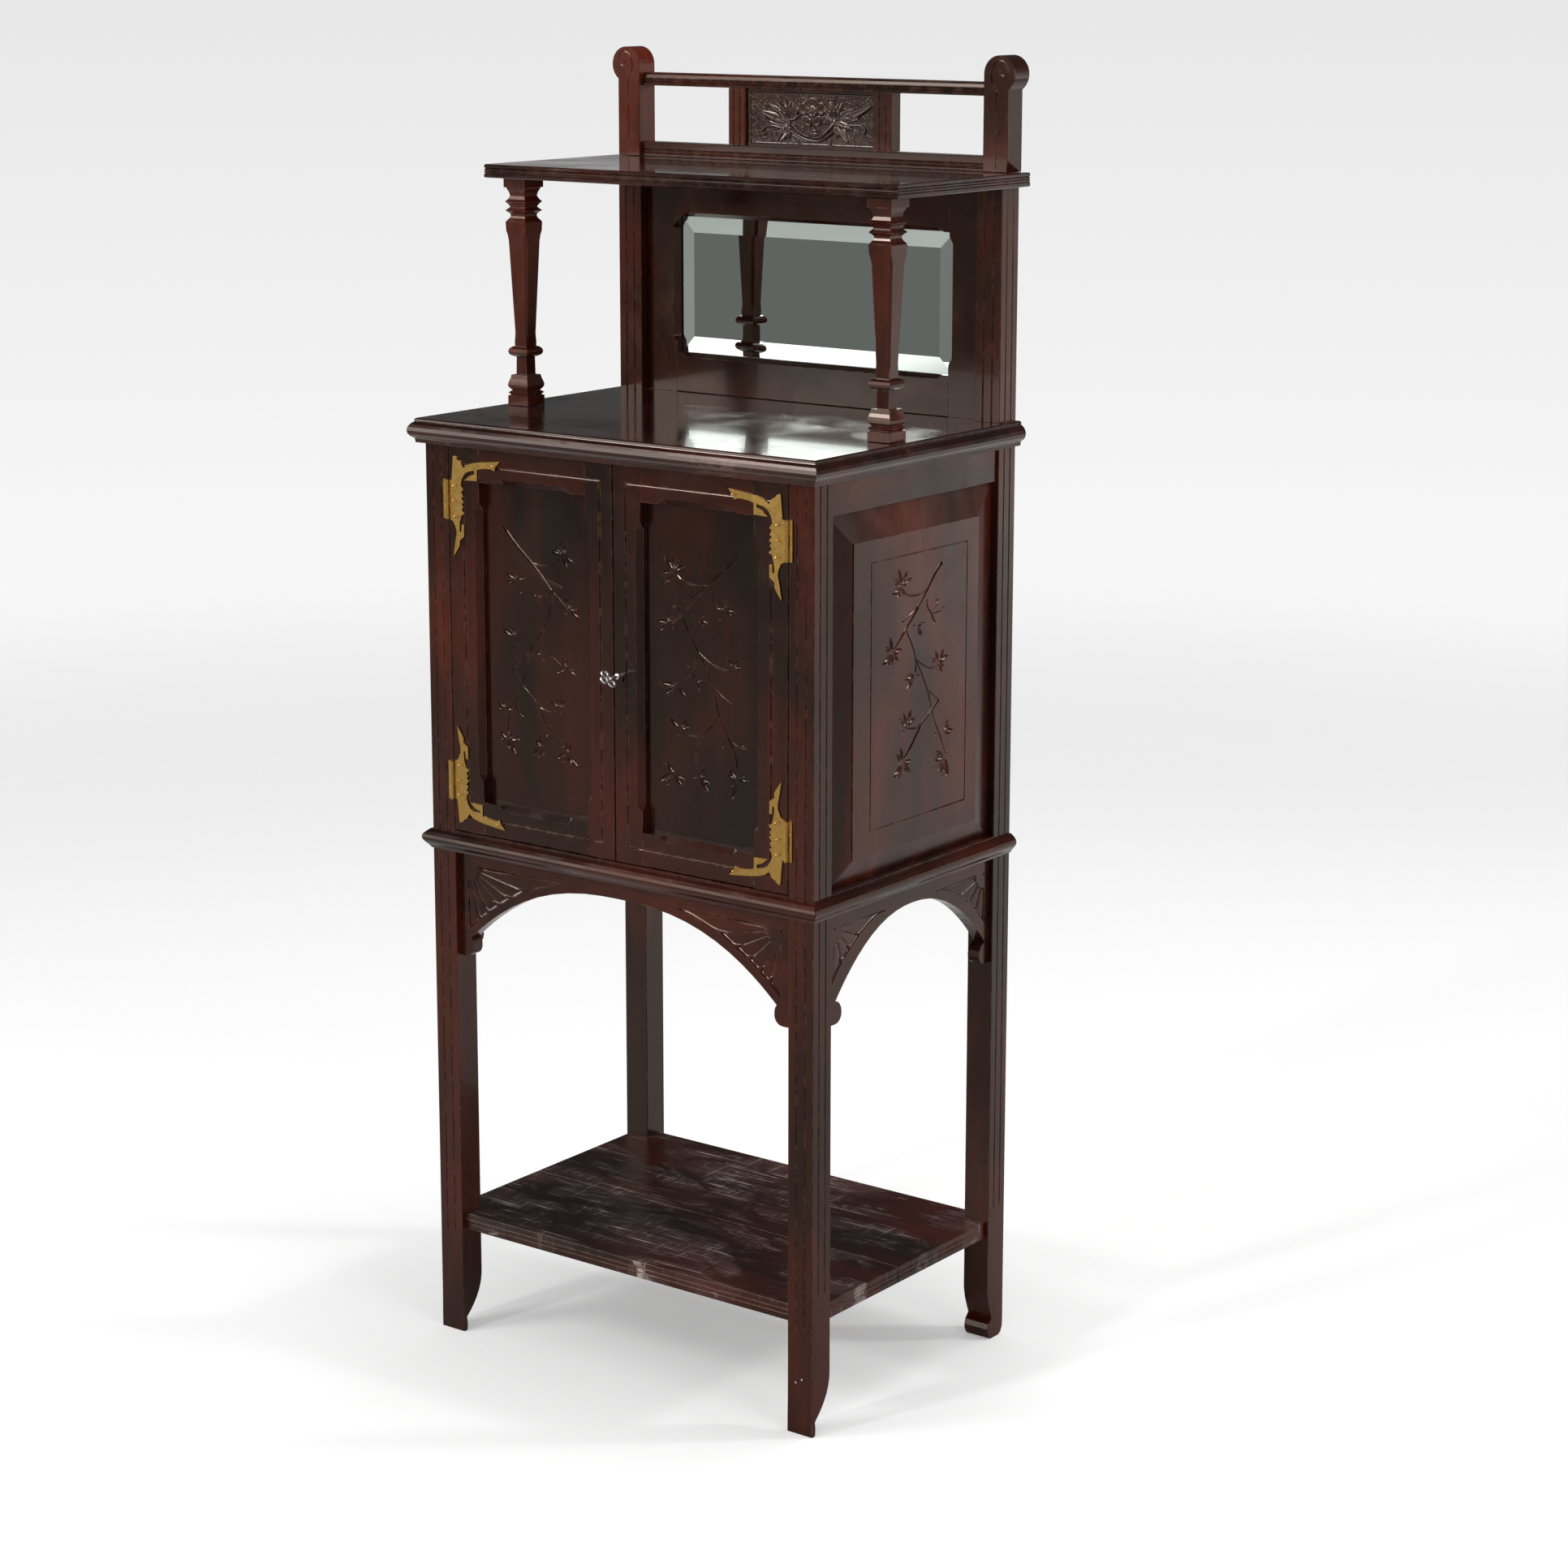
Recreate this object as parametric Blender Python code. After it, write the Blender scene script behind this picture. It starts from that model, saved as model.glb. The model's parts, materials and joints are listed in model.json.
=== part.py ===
"""Mirror-back side cabinet on a tall stand: carcass with two carved doors, an open
lower shelf, and a mirrored back that carries an upper shelf and a pierced gallery.

Metres, +Z up. The front faces -Y and the cabinet's width runs along X. The origin is
on the floor, under the middle of the cabinet's box.
"""

import math

import bmesh
import bpy

# Fits
SEAT = 0.0003            # gap between two pieces that touch
RUN = 0.0015             # running gap round a door
ARRIS = 0.0007           # softened edge on boards and posts

# Carcass and stand
CASE_W = 0.552           # over the legs, side to side
CASE_D = 0.386           # over the legs, front to back
LEG = 0.034              # square section of a leg
FLOOR_UNDER = 0.5985     # underside of the carcass floor
FLOOR_THICK = 0.022
CABINET_H = 0.4525       # from the carcass floor to the top board
TOP_THICK = 0.028
TOP_SIDE_OVER = 0.014
TOP_FRONT_OVER = 0.016
TOP_STEP = 0.0082        # from the nosing back to the edge of the board's top
WAIST_OUT = 0.0095       # how far the waist moulding stands out
WAIST_H = 0.0230
WAIST_DROP = 0.0033      # the moulding hangs this far below the carcass floor
PLATE_D = 0.0014         # brass plate of a hinge
KEY_REACH = 0.038        # the key's bow in front of the doors

# Lower shelf
SHELF_TOP = 0.148
SHELF_THICK = 0.020
SHELF_FRONT_BACKSET = 0.007
SHELF_SIDE_BACKSET = 0.005
SHELF_REAR_BACKSET = 0.0096
SHELF_JOINT_Y = -0.020   # the open joint of its two boards, from the carcass centre
SHELF_JOINT_GAP = 0.0012

# Aprons under the carcass
APRON_THICK = 0.016
APRON_FRONT_BACKSET = 0.008
APRON_SIDE_BACKSET = 0.006
APRON_DROP = 0.1301      # from the carcass floor down to the tip of a bracket
ARCH_WEB = 0.0235        # wood left over the crown of an arch
TOE_R = 0.0116           # the scrolled toe of a bracket
FRONT_NECK_W = 0.0184    # width of a bracket where the arch ends
FRONT_NOSE_W = 0.0219    # width of a bracket at its toe
FRONT_NECK_H = 0.0228    # from the toe's bottom to where the arch ends
FRONT_ARCH_POWER = 2.5
FRONT_ARCH_SHIFT = -0.0029
SIDE_NECK_W = 0.0108
SIDE_NOSE_W = 0.0226
SIDE_NECK_H = 0.0261
SIDE_ARCH_POWER = 2.2
SIDE_ARCH_SHIFT = 0.0047

# Feet
FRONT_TOE = 0.006
FRONT_SWEEP = 0.070      # height at which the front foot starts to narrow
FRONT_TOE_TOP = 0.017
BACK_SWEEP = 0.060       # height at which the back foot starts to narrow
BACK_NOTCH = 0.0105      # depth of the notch over the back foot's toe
REED_PITCH = 0.012       # between the two grooves on a leg
REED_W = 0.0026
REED_D = 0.0012
FRONT_REED_STOP = 0.120
SIDE_REED_STOP = 0.160

# Side of the carcass
SIDE_RAIL_H = 0.038
SIDE_RAIL_BACKSET = 0.003
SIDE_RAIL_THICK = 0.017
PANEL_BACK = 0.020       # inner face of a side panel, from the leg's outer face
PANEL_EDGE = 0.0085      # depth of the bevel round the field
FIELD_SIDE = 0.038
FIELD_TOP = 0.034
FIELD_BOTTOM = 0.028

# Inside
BACK_PANEL_THICK = 0.008
BACK_PANEL_BACKSET = 0.006
INNER_SHELF_UP = 0.2175  # from the carcass floor to the inner shelf
INNER_SHELF_THICK = 0.012
INNER_SHELF_FRONT = 0.024

# Doors
DOOR_THICK = 0.020
HINGE_STILE_W = 0.0454
MEETING_STILE_W = 0.03875
DOOR_RAIL_W = 0.0385
CHAMFER = 0.0070
CHAMFER_D = 0.0064
CHAMFER_STOP = 0.022     # from the corner of the opening to the chamfer
TONGUE = 0.010           # length of a lamb's-tongue stop
DOOR_PANEL_BACKSET = 0.011
DOOR_PANEL_THICK = 0.006
GROOVE_D = 0.0065

# Hinges
KNUCKLE_R = 0.0026
PIN_R = 0.0011
PIN_BORE = 0.00115
HINGE_L = 0.045
HINGE_HEAD_INSET = 0.0385   # from the door's head to the upper hinge's knuckles
HINGE_FOOT_INSET = 0.0370   # from the door's foot to the lower hinge's knuckles
POST_LEAF_W = 0.0036
ROUND_SIDES = 16

# Lock, key and bolts
KEY_BACKSET = 0.01325    # keyhole from the meeting edge
KEY_UP = 0.2150          # keyhole over the door's foot
KEY_REST = 46.0          # degrees that the key is turned at rest
KEY_SHANK_R = 0.0021
KEY_LOOP_R = 0.0053      # each loop of the key's bow
KEY_EYE_R = 0.0033
KEY_LOOP_OUT = 0.0067    # from the middle of the bow to the middle of a loop
KEY_PLATE = 0.0022
KEY_BIT = 0.0060
KEYHOLE_R = 0.0027
KEYHOLE_SLOT = 0.0085
LOCK_W = 0.027
LOCK_H = 0.040
LOCK_D = 0.012
LOCK_WALL = 0.0012
BOLT_H = 0.008
BOLT_THICK = 0.0050
BOLT_L = 0.024
BOLT_THROW = 0.009
BOLT_PLAY = 0.0016       # the left door's mortise round the bolt
DROP_R = 0.0022
DROP_L = 0.066
DROP_THROW = 0.009
DROP_KNOB_R = 0.0016
DROP_HOLE_R = 0.0052     # its socket in the carcass floor

# Mirror back
BAY_H = 0.2642           # from the top board to the upper shelf
UPPER_THICK = 0.0155
UPPER_OVER = 0.0157      # the upper shelf past the case at each side
UPPER_D = 0.2577
UPPER_REAR_BACKSET = 0.002
UPPER_EDGE = 0.0016      # depth of the reeds along the upper shelf's edge
FRAME_BACKSET = 0.012    # frame of the mirror behind the front of its posts
FRAME_THICK = 0.0186
FRAME_STILE_W = 0.0445
FRAME_FOOT_W = 0.0470
FRAME_HEAD_W = 0.0540
FRAME_CHAMFER = 0.0050
FRAME_CHAMFER_D = 0.0085
REBATE_W = 0.008
REBATE_FROM = 0.010
GLASS_THICK = 0.004
GLASS_BEVEL = 0.0190
GLASS_BEVEL_D = 0.0013
BACKING_THICK = 0.004

# Balusters, square turned
BALUSTER_SIDE_INSET = 0.0337    # its middle from the upper shelf's end
BALUSTER_FRONT_INSET = 0.0302   # its middle from the upper shelf's front
BASE_H = 0.0690          # turned base, up to the shaft
CAP_H = 0.0506           # turned cap over the shaft
PLINTH_HALF = 0.0152
ABACUS_HALF = 0.0164
SHAFT_FOOT_HALF = 0.0089
SHAFT_HEAD_HALF = 0.0152
SHAFT_STOP_CUT = 0.0034

# Gallery
GALLERY_POST_W = 0.0327
GALLERY_POST_D = 0.030
GALLERY_END_INSET = 0.0129      # post from the upper shelf's end
SCROLL_R = 0.0208
SCROLL_RISE = 0.0298     # top of the scroll over the top rail
GALLERY_BACKSET = 0.005
GALLERY_RAIL_THICK = 0.020
FOOT_RAIL_H = 0.0173
GALLERY_GAP_H = 0.0665   # open height between the two rails
HEAD_RAIL_H = 0.0153
MUNTIN_W = 0.025
MUNTIN_THICK = 0.018
GALLERY_PANEL_W = 0.1834
GALLERY_PANEL_THICK = 0.009

# Worked out from the sizes above
REACH = CASE_D + KEY_REACH
REAR = REACH / 2
FRONT = REAR - CASE_D
MIDDLE = REAR - CASE_D / 2
HALF_W = CASE_W / 2
LEG_IN = HALF_W - LEG
LEG_BACK = FRONT + LEG
REAR_LEG = REAR - LEG
FLOOR_Z = FLOOR_UNDER + FLOOR_THICK
TOP_UNDER = FLOOR_Z + CABINET_H
TOP_Z = TOP_UNDER + TOP_THICK
DOOR_FOOT = FLOOR_Z + RUN
DOOR_HEAD = TOP_UNDER - RUN
DOOR_OUT = LEG_IN - 0.001
DOOR_MEET = RUN / 2
KEY_X = DOOR_MEET + KEY_BACKSET
KEY_Z = DOOR_FOOT + KEY_UP
UPPER_UNDER = TOP_Z + BAY_H
UPPER_TOP = UPPER_UNDER + UPPER_THICK
UPPER_HALF_W = HALF_W + UPPER_OVER
UPPER_REAR = REAR - UPPER_REAR_BACKSET
UPPER_FRONT = UPPER_REAR - UPPER_D
GALLERY_OUT = UPPER_HALF_W - GALLERY_END_INSET
GALLERY_IN = GALLERY_OUT - GALLERY_POST_W
FOOT_RAIL_TOP = UPPER_TOP + FOOT_RAIL_H
HEAD_RAIL_UNDER = FOOT_RAIL_TOP + GALLERY_GAP_H
HEAD_RAIL_TOP = HEAD_RAIL_UNDER + HEAD_RAIL_H
SCROLL_TOP = HEAD_RAIL_TOP + SCROLL_RISE
MUNTIN_X = GALLERY_PANEL_W / 2 + SEAT + MUNTIN_W / 2
HINGE_X = LEG_IN - 0.0005
HINGE_Y = FRONT - SEAT - KNUCKLE_R
LEAF_BACK = FRONT - SEAT
LEAF_FRONT = LEAF_BACK - PLATE_D

MAHOGANY = {"color": (0.105, 0.022, 0.014), "roughness": 0.28, "metallic": 0.0}
BRASS = {"color": (0.62, 0.42, 0.14), "roughness": 0.34, "metallic": 1.0}
STEEL = {"color": (0.52, 0.52, 0.50), "roughness": 0.35, "metallic": 1.0}
MIRROR = {"color": (0.86, 0.88, 0.87), "roughness": 0.03, "metallic": 1.0}
PINE = {"color": (0.22, 0.12, 0.06), "roughness": 0.70, "metallic": 0.0}


def clear_scene():
    """Empties the scene of what Blender starts with."""
    for old in list(bpy.data.objects):
        bpy.data.objects.remove(old, do_unlink=True)


def material(name, look):
    """A Principled material for one sub-part."""
    made = bpy.data.materials.new(name)
    made.use_nodes = True
    shader = made.node_tree.nodes["Principled BSDF"]
    shader.inputs["Base Color"].default_value = (*look["color"], 1.0)
    shader.inputs["Roughness"].default_value = look["roughness"]
    shader.inputs["Metallic"].default_value = look["metallic"]
    return made


def solid(name, verts, faces, look, origin=(0.0, 0.0, 0.0), smooth=False):
    """A closed mesh object from world points, with its own origin and material."""
    mesh = bpy.data.meshes.new(name)
    shifted = [tuple(c - o for c, o in zip(v, origin)) for v in verts]
    mesh.from_pydata(shifted, [], faces)
    work = bmesh.new()
    work.from_mesh(mesh)
    bmesh.ops.recalc_face_normals(work, faces=work.faces)
    work.to_mesh(mesh)
    work.free()
    if smooth:
        mesh.shade_smooth()
        mesh.set_sharp_from_angle(angle=math.radians(35))
    mesh.materials.append(material(name, look))
    made = bpy.data.objects.new(name, mesh)
    made.location = origin
    bpy.context.scene.collection.objects.link(made)
    return made


def loft(rings):
    """Points and faces of a solid through rings that have the same number of points."""
    count = len(rings[0])
    verts = [p for ring in rings for p in ring]
    faces = [tuple(reversed(range(count)))]
    for r in range(len(rings) - 1):
        low = r * count
        high = low + count
        for i in range(count):
            j = (i + 1) % count
            faces.append((low + i, low + j, high + j, high + i))
    last = (len(rings) - 1) * count
    faces.append(tuple(range(last, last + count)))
    return verts, faces


def cut_rectangle(x0, x1, y0, y1, cut):
    """A rectangle's eight points, with its corners cut off."""
    return [
        (x0 + cut, y0), (x1 - cut, y0), (x1, y0 + cut), (x1, y1 - cut),
        (x1 - cut, y1), (x0 + cut, y1), (x0, y1 - cut), (x0, y0 + cut),
    ]


def board(name, low, high, look, cut=ARRIS):
    """A flat board between two corners, with all its edges softened."""
    rings = []
    for z, inset in ((low[2], cut), (low[2] + cut, 0.0), (high[2] - cut, 0.0), (high[2], cut)):
        ring = cut_rectangle(low[0] + inset, high[0] - inset, low[1] + inset, high[1] - inset, cut)
        rings.append([(x, y, z) for x, y in ring])
    verts, faces = loft(rings)
    return solid(name, verts, faces, look)


def slab(name, outline, levels, look):
    """A board whose outline is drawn by outline(inset) at each (height, inset)."""
    rings = [[(x, y, z) for x, y in outline(inset)] for z, inset in levels]
    verts, faces = loft(rings)
    return solid(name, verts, faces, look)


def prism(name, outline, place, low, high, look, cut=0.0, smooth=False):
    """An outline pushed from low to high along the axis that place(u, v, w) gives."""
    rings = [[place(u, v, w) for u, v in outline] for w in (low, high)]
    verts, faces = loft(rings)
    made = solid(name, verts, faces, look, smooth=smooth)
    if cut:
        soften = made.modifiers.new("Soften", "BEVEL")
        soften.width = cut
        soften.segments = 1
        soften.limit_method = "ANGLE"
        soften.angle_limit = math.radians(60)
    return made


def arc(cx, cy, radius, start, end, steps):
    """Points on an arc, in degrees, both ends included."""
    points = []
    for i in range(steps + 1):
        angle = math.radians(start + (end - start) * i / steps)
        points.append((cx + radius * math.cos(angle), cy + radius * math.sin(angle)))
    return points


def helper(name, verts, faces):
    """A hidden cutter or filler for a Boolean."""
    mesh = bpy.data.meshes.new(name)
    mesh.from_pydata(verts, [], faces)
    work = bmesh.new()
    work.from_mesh(mesh)
    bmesh.ops.recalc_face_normals(work, faces=work.faces)
    work.to_mesh(mesh)
    work.free()
    made = bpy.data.objects.new(name, mesh)
    made.hide_render = True
    made.display_type = "WIRE"
    bpy.context.scene.collection.objects.link(made)
    return made


def boolean(target, tool, operation):
    """Adds a Boolean modifier that joins the tool to the target or cuts with it."""
    step = target.modifiers.new(tool.name, "BOOLEAN")
    step.object = tool
    step.operation = operation
    step.solver = "EXACT"


def box_tool(name, low, high):
    """A plain box for a Boolean."""
    rings = []
    for z in (low[2], high[2]):
        rings.append([(low[0], low[1], z), (high[0], low[1], z), (high[0], high[1], z), (low[0], high[1], z)])
    return helper(name, *loft(rings))


def round_tool(name, place, radius, low, high, sides=ROUND_SIDES):
    """A cylinder for a Boolean, on the axis that place(u, v, w) gives."""
    ring = arc(0.0, 0.0, radius, 0.0, 360.0 * (sides - 1) / sides, sides - 1)
    rings = [[place(u, v, w) for u, v in ring] for w in (low, high)]
    return helper(name, *loft(rings))


def groove_points(a, b, depth, face):
    """A face from a to b with the two V grooves of a leg; face(t, d) places a point."""
    points = []
    centre = (a + b) / 2
    direction = 1.0 if b > a else -1.0
    for offset in (-REED_PITCH / 2, REED_PITCH / 2):
        middle = centre + direction * offset
        points.append(face(middle - direction * REED_W / 2, 0.0))
        points.append(face(middle, depth))
        points.append(face(middle + direction * REED_W / 2, 0.0))
    return points


def leg_ring(side, z, near, far, front_groove, side_groove):
    """Plan of a leg at height z: near and far are its front and back edges."""
    outer = side * HALF_W
    inner = side * LEG_IN
    scale = (far - near) / LEG
    ring = [(inner + side * ARRIS, near)]
    ring += groove_points(inner, outer, front_groove, lambda t, d: (t, near + d))
    ring += [(outer - side * ARRIS, near), (outer, near + ARRIS * scale)]

    def on_side(t, d):
        return (outer - side * d, near + t * scale)

    ring += groove_points(0.0, LEG, side_groove, on_side)
    ring += [(outer, far - ARRIS * scale), (outer - side * ARRIS, far)]
    ring += [(inner + side * ARRIS, far), (inner, far - ARRIS * scale), (inner, near + ARRIS * scale)]
    return [(x, y, z) for x, y in ring]


def front_foot_back(z):
    """Back edge of a front leg at height z: it sweeps forward to a thin toe."""
    if z >= FRONT_SWEEP:
        return LEG_BACK
    if z <= FRONT_TOE_TOP:
        return FRONT + FRONT_TOE
    part = (FRONT_SWEEP - z) / (FRONT_SWEEP - FRONT_TOE_TOP)
    return FRONT + FRONT_TOE + (LEG - FRONT_TOE) * (1.0 - part ** 2.2)


def front_leg(name, side):
    """A front leg, from the floor to the top board."""
    top = TOP_UNDER - SEAT
    rings = []
    foot = FRONT + FRONT_TOE
    rings.append(leg_ring(side, 0.0, FRONT + ARRIS / 2, foot - 0.0008, 0.0, 0.0))
    rings.append(leg_ring(side, ARRIS, FRONT, foot + 0.0002, 0.0, 0.0))
    rings.append(leg_ring(side, 0.008, FRONT, foot + 0.0010, 0.0, 0.0))
    for i in range(9):
        z = FRONT_TOE_TOP + (FRONT_SWEEP - FRONT_TOE_TOP) * i / 8
        rings.append(leg_ring(side, z, FRONT, front_foot_back(z), 0.0, 0.0))
    for z, front_cut, side_cut in (
        (FRONT_REED_STOP, 0.0, 0.0),
        (FRONT_REED_STOP + 0.008, REED_D, 0.0),
        (SIDE_REED_STOP, REED_D, 0.0),
        (SIDE_REED_STOP + 0.008, REED_D, REED_D),
        (top, REED_D, REED_D),
    ):
        rings.append(leg_ring(side, z, FRONT, LEG_BACK, front_cut, side_cut))
    verts, faces = loft(rings)
    return solid(name, verts, faces, MAHOGANY)


def back_leg(name, side):
    """A back leg: its foot is notched in front above a rolled toe."""
    top = TOP_UNDER - SEAT
    rings = []
    for up, near, far in (
        (0.0, 0.80, 0.90), (0.04, 0.52, 0.38), (0.13, 0.27, 0.08), (0.22, 0.21, 0.0), (0.32, 0.40, 0.0),
        (0.43, 1.0, 0.0), (0.58, 0.67, 0.0), (0.78, 0.25, 0.0), (1.0, 0.0, 0.0),
    ):
        z = BACK_SWEEP * up
        rings.append(leg_ring(side, z, REAR_LEG + BACK_NOTCH * near, REAR - BACK_NOTCH * far, 0.0, 0.0))
    for z, side_cut in ((SIDE_REED_STOP, 0.0), (SIDE_REED_STOP + 0.008, REED_D), (top, REED_D)):
        rings.append(leg_ring(side, z, REAR_LEG, REAR, 0.0, side_cut))
    verts, faces = loft(rings)
    return solid(name, verts, faces, MAHOGANY)


def notched_board(front, rear, front_leg_end, rear_leg_start, half_w):
    """Outline of a board notched round the legs that it reaches."""

    def outline(inset):
        side = half_w - inset
        neck = LEG_IN - SEAT
        points = []
        if front_leg_end is None:
            points += [(-side, front + inset), (side, front + inset)]
        else:
            shoulder = front_leg_end + SEAT
            points += [(-side, shoulder), (-neck, shoulder), (-neck, front + inset)]
            points += [(neck, front + inset), (neck, shoulder), (side, shoulder)]
        if rear_leg_start is None:
            points += [(side, rear - inset), (-side, rear - inset)]
        else:
            shoulder = rear_leg_start - SEAT
            points += [(side, shoulder), (neck, shoulder), (neck, rear - inset)]
            points += [(-neck, rear - inset), (-neck, shoulder), (-side, shoulder)]
        return points

    return outline


def reeded_levels(under, thick):
    """(height, inset) levels of a board edge with two fine grooves."""
    groove = 0.0009
    levels = [(under, ARRIS), (under + ARRIS, 0.0)]
    for share in (0.36, 0.64):
        z = under + thick * share
        levels += [(z - groove, 0.0), (z, groove), (z + groove, 0.0)]
    levels += [(under + thick - ARRIS, 0.0), (under + thick, ARRIS)]
    return levels


def lower_shelf():
    """The two boards of the lower shelf, with their open joint."""
    joint = MIDDLE + SHELF_JOINT_Y
    half = HALF_W - SHELF_SIDE_BACKSET
    levels = reeded_levels(SHELF_TOP - SHELF_THICK, SHELF_THICK)
    front = FRONT + SHELF_FRONT_BACKSET
    rear = REAR - SHELF_REAR_BACKSET
    gap = SHELF_JOINT_GAP / 2
    slab("lower_shelf_front_board", notched_board(front, joint - gap, LEG_BACK, None, half), levels, MAHOGANY)
    slab("lower_shelf_back_board", notched_board(joint + gap, rear, None, REAR_LEG, half), levels, MAHOGANY)


def arched_outline(half, neck_w, nose_w, neck_h, power, shift):
    """Outline of an apron: straight top, arch below, and a scrolled toe at each end.

    The arch and its toes lie a little off the middle of the apron, as cut by hand.
    """
    top = FLOOR_UNDER - SEAT
    foot = FLOOR_UNDER - APRON_DROP
    crown = FLOOR_UNDER - ARCH_WEB
    span = half - neck_w
    nose = half - nose_w
    neck = foot + neck_h
    toe_z = foot + TOE_R

    def bracket(sign):
        end = sign * (half - SEAT)
        points = [(end, top), (end, foot)]
        for x, z in arc(nose + TOE_R, toe_z, TOE_R, -90.0, -180.0, 6):
            points.append((sign * x + shift, z))
        for i in range(1, 4):
            angle = math.pi / 2 * i / 4
            x = span - (span - nose) * math.cos(angle)
            points.append((sign * x + shift, toe_z + (neck - toe_z) * math.sin(angle)))
        return points

    steps = 14
    arch = []
    for i in range(2 * steps + 1):
        x = span * math.cos(math.pi * i / (2 * steps))
        arch.append((x + shift, crown - (crown - neck) * (abs(x) / span) ** power))
    return bracket(1.0) + arch + list(reversed(bracket(-1.0)))


def aprons():
    """The three arched aprons under the carcass."""
    outline = arched_outline(
        LEG_IN, FRONT_NECK_W, FRONT_NOSE_W, FRONT_NECK_H, FRONT_ARCH_POWER, FRONT_ARCH_SHIFT,
    )
    front = FRONT + APRON_FRONT_BACKSET
    prism("apron_front", outline, lambda u, v, w: (u, w, v), front, front + APRON_THICK, MAHOGANY)
    half = CASE_D / 2 - LEG
    outline = arched_outline(half, SIDE_NECK_W, SIDE_NOSE_W, SIDE_NECK_H, SIDE_ARCH_POWER, SIDE_ARCH_SHIFT)
    outer = HALF_W - APRON_SIDE_BACKSET
    for name, side in (("apron_left", -1.0), ("apron_right", 1.0)):
        prism(
            name, outline, lambda u, v, w, s=side: (s * w, MIDDLE + u, v),
            outer - APRON_THICK, outer, MAHOGANY,
        )


def carcass_floor():
    """The carcass floor, notched round the four legs, with the hole of the drop bolt."""
    outline = notched_board(FRONT, REAR, LEG_BACK, REAR_LEG, HALF_W)
    levels = [(FLOOR_UNDER, ARRIS), (FLOOR_UNDER + ARRIS, 0.0), (FLOOR_Z - ARRIS, 0.0), (FLOOR_Z, ARRIS)]
    made = slab("carcass_floor", outline, levels, MAHOGANY)
    hole = round_tool(
        "drop_bolt_hole", lambda u, v, w: (drop_x() + u, drop_y() + v, w),
        DROP_HOLE_R, DOOR_FOOT - DROP_THROW - 0.002, FLOOR_Z + 0.005,
    )
    boolean(made, hole, "DIFFERENCE")


def waist_moulding():
    """The nosing round the waist, in three lengths mitred at the front corners."""
    foot = FLOOR_UNDER - WAIST_DROP
    profile = [
        (0.0, 0.12), (0.15, 0.34), (0.32, 0.72), (0.45, 0.92), (0.58, 1.0), (0.72, 0.92), (0.87, 0.60),
        (1.0, 0.18),
    ]

    def length(name, line):
        rings = []
        for share, out in profile:
            rings.append([(x, y, foot + WAIST_H * share) for x, y in line(WAIST_OUT * out)])
        verts, faces = loft(rings)
        solid(name, verts, faces, MAHOGANY, smooth=True)

    def front_line(out):
        near = FRONT - SEAT
        return [
            (-HALF_W - out, near - out), (HALF_W + out, near - out), (HALF_W + SEAT, near),
            (-HALF_W - SEAT, near),
        ]

    length("waist_moulding_front", front_line)
    for name, side in (("waist_moulding_left", -1.0), ("waist_moulding_right", 1.0)):

        def side_line(out, s=side):
            wall = HALF_W + SEAT
            near = FRONT - SEAT
            mitre = 2 * SEAT
            return [
                (s * wall, REAR), (s * (wall + out), REAR),
                (s * (wall + out), near - out + mitre), (s * wall, near + mitre),
            ]

        length(name, side_line)


def nosing_outline(side_over, front_over):
    """A board flush at the back, that overhangs its base at the sides and the front."""

    def outline(inset):
        half = HALF_W + side_over - inset
        near = FRONT - front_over + inset
        return [(-half, near), (half, near), (half, REAR), (-half, REAR)]

    return outline


def top_board():
    """The top board: a thin upper step over a bold half-round nosing."""
    profile = [
        (0.0, 0.88), (0.157, 0.80), (0.193, 0.68), (0.257, 0.37), (0.350, 0.12), (0.493, 0.0), (0.636, 0.10),
        (0.743, 0.32), (0.821, 0.61), (0.850, 0.80), (0.871, 0.83), (0.893, 0.76), (0.957, 0.80), (1.0, 1.0),
    ]
    made = slab(
        "top_board", nosing_outline(TOP_SIDE_OVER, TOP_FRONT_OVER),
        [(TOP_UNDER + TOP_THICK * up, TOP_STEP * inset) for up, inset in profile], MAHOGANY,
    )
    made.data.shade_smooth()
    made.data.set_sharp_from_angle(angle=math.radians(35))


def side_panels():
    """Each side: a rail under the top board and a fielded panel between the legs."""
    near = LEG_BACK + SEAT
    far = REAR_LEG - SEAT
    rail_under = TOP_UNDER - SEAT - SIDE_RAIL_H
    foot = FLOOR_Z + SEAT
    head = rail_under - SEAT
    for word, side in (("left", -1.0), ("right", 1.0)):
        outer = HALF_W - SIDE_RAIL_BACKSET
        inner = outer - SIDE_RAIL_THICK
        board(
            f"side_rail_{word}", (min(side * inner, side * outer), near, rail_under),
            (max(side * inner, side * outer), far, TOP_UNDER - SEAT), MAHOGANY,
        )
        back = HALF_W - PANEL_BACK
        face = HALF_W - SEAT
        edge = face - PANEL_EDGE
        lip = face - 0.0012
        rings = []
        for x, d, up, down in (
            (back, 0.0, 0.0, 0.0),
            (edge, 0.0, 0.0, 0.0),
            (lip, FIELD_SIDE, FIELD_TOP, FIELD_BOTTOM),
            (face, FIELD_SIDE, FIELD_TOP, FIELD_BOTTOM),
        ):
            rings.append([
                (side * x, near + d, foot + down), (side * x, far - d, foot + down),
                (side * x, far - d, head - up), (side * x, near + d, head - up),
            ])
        verts, faces = loft(rings)
        solid(f"side_panel_{word}", verts, faces, MAHOGANY)


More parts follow.
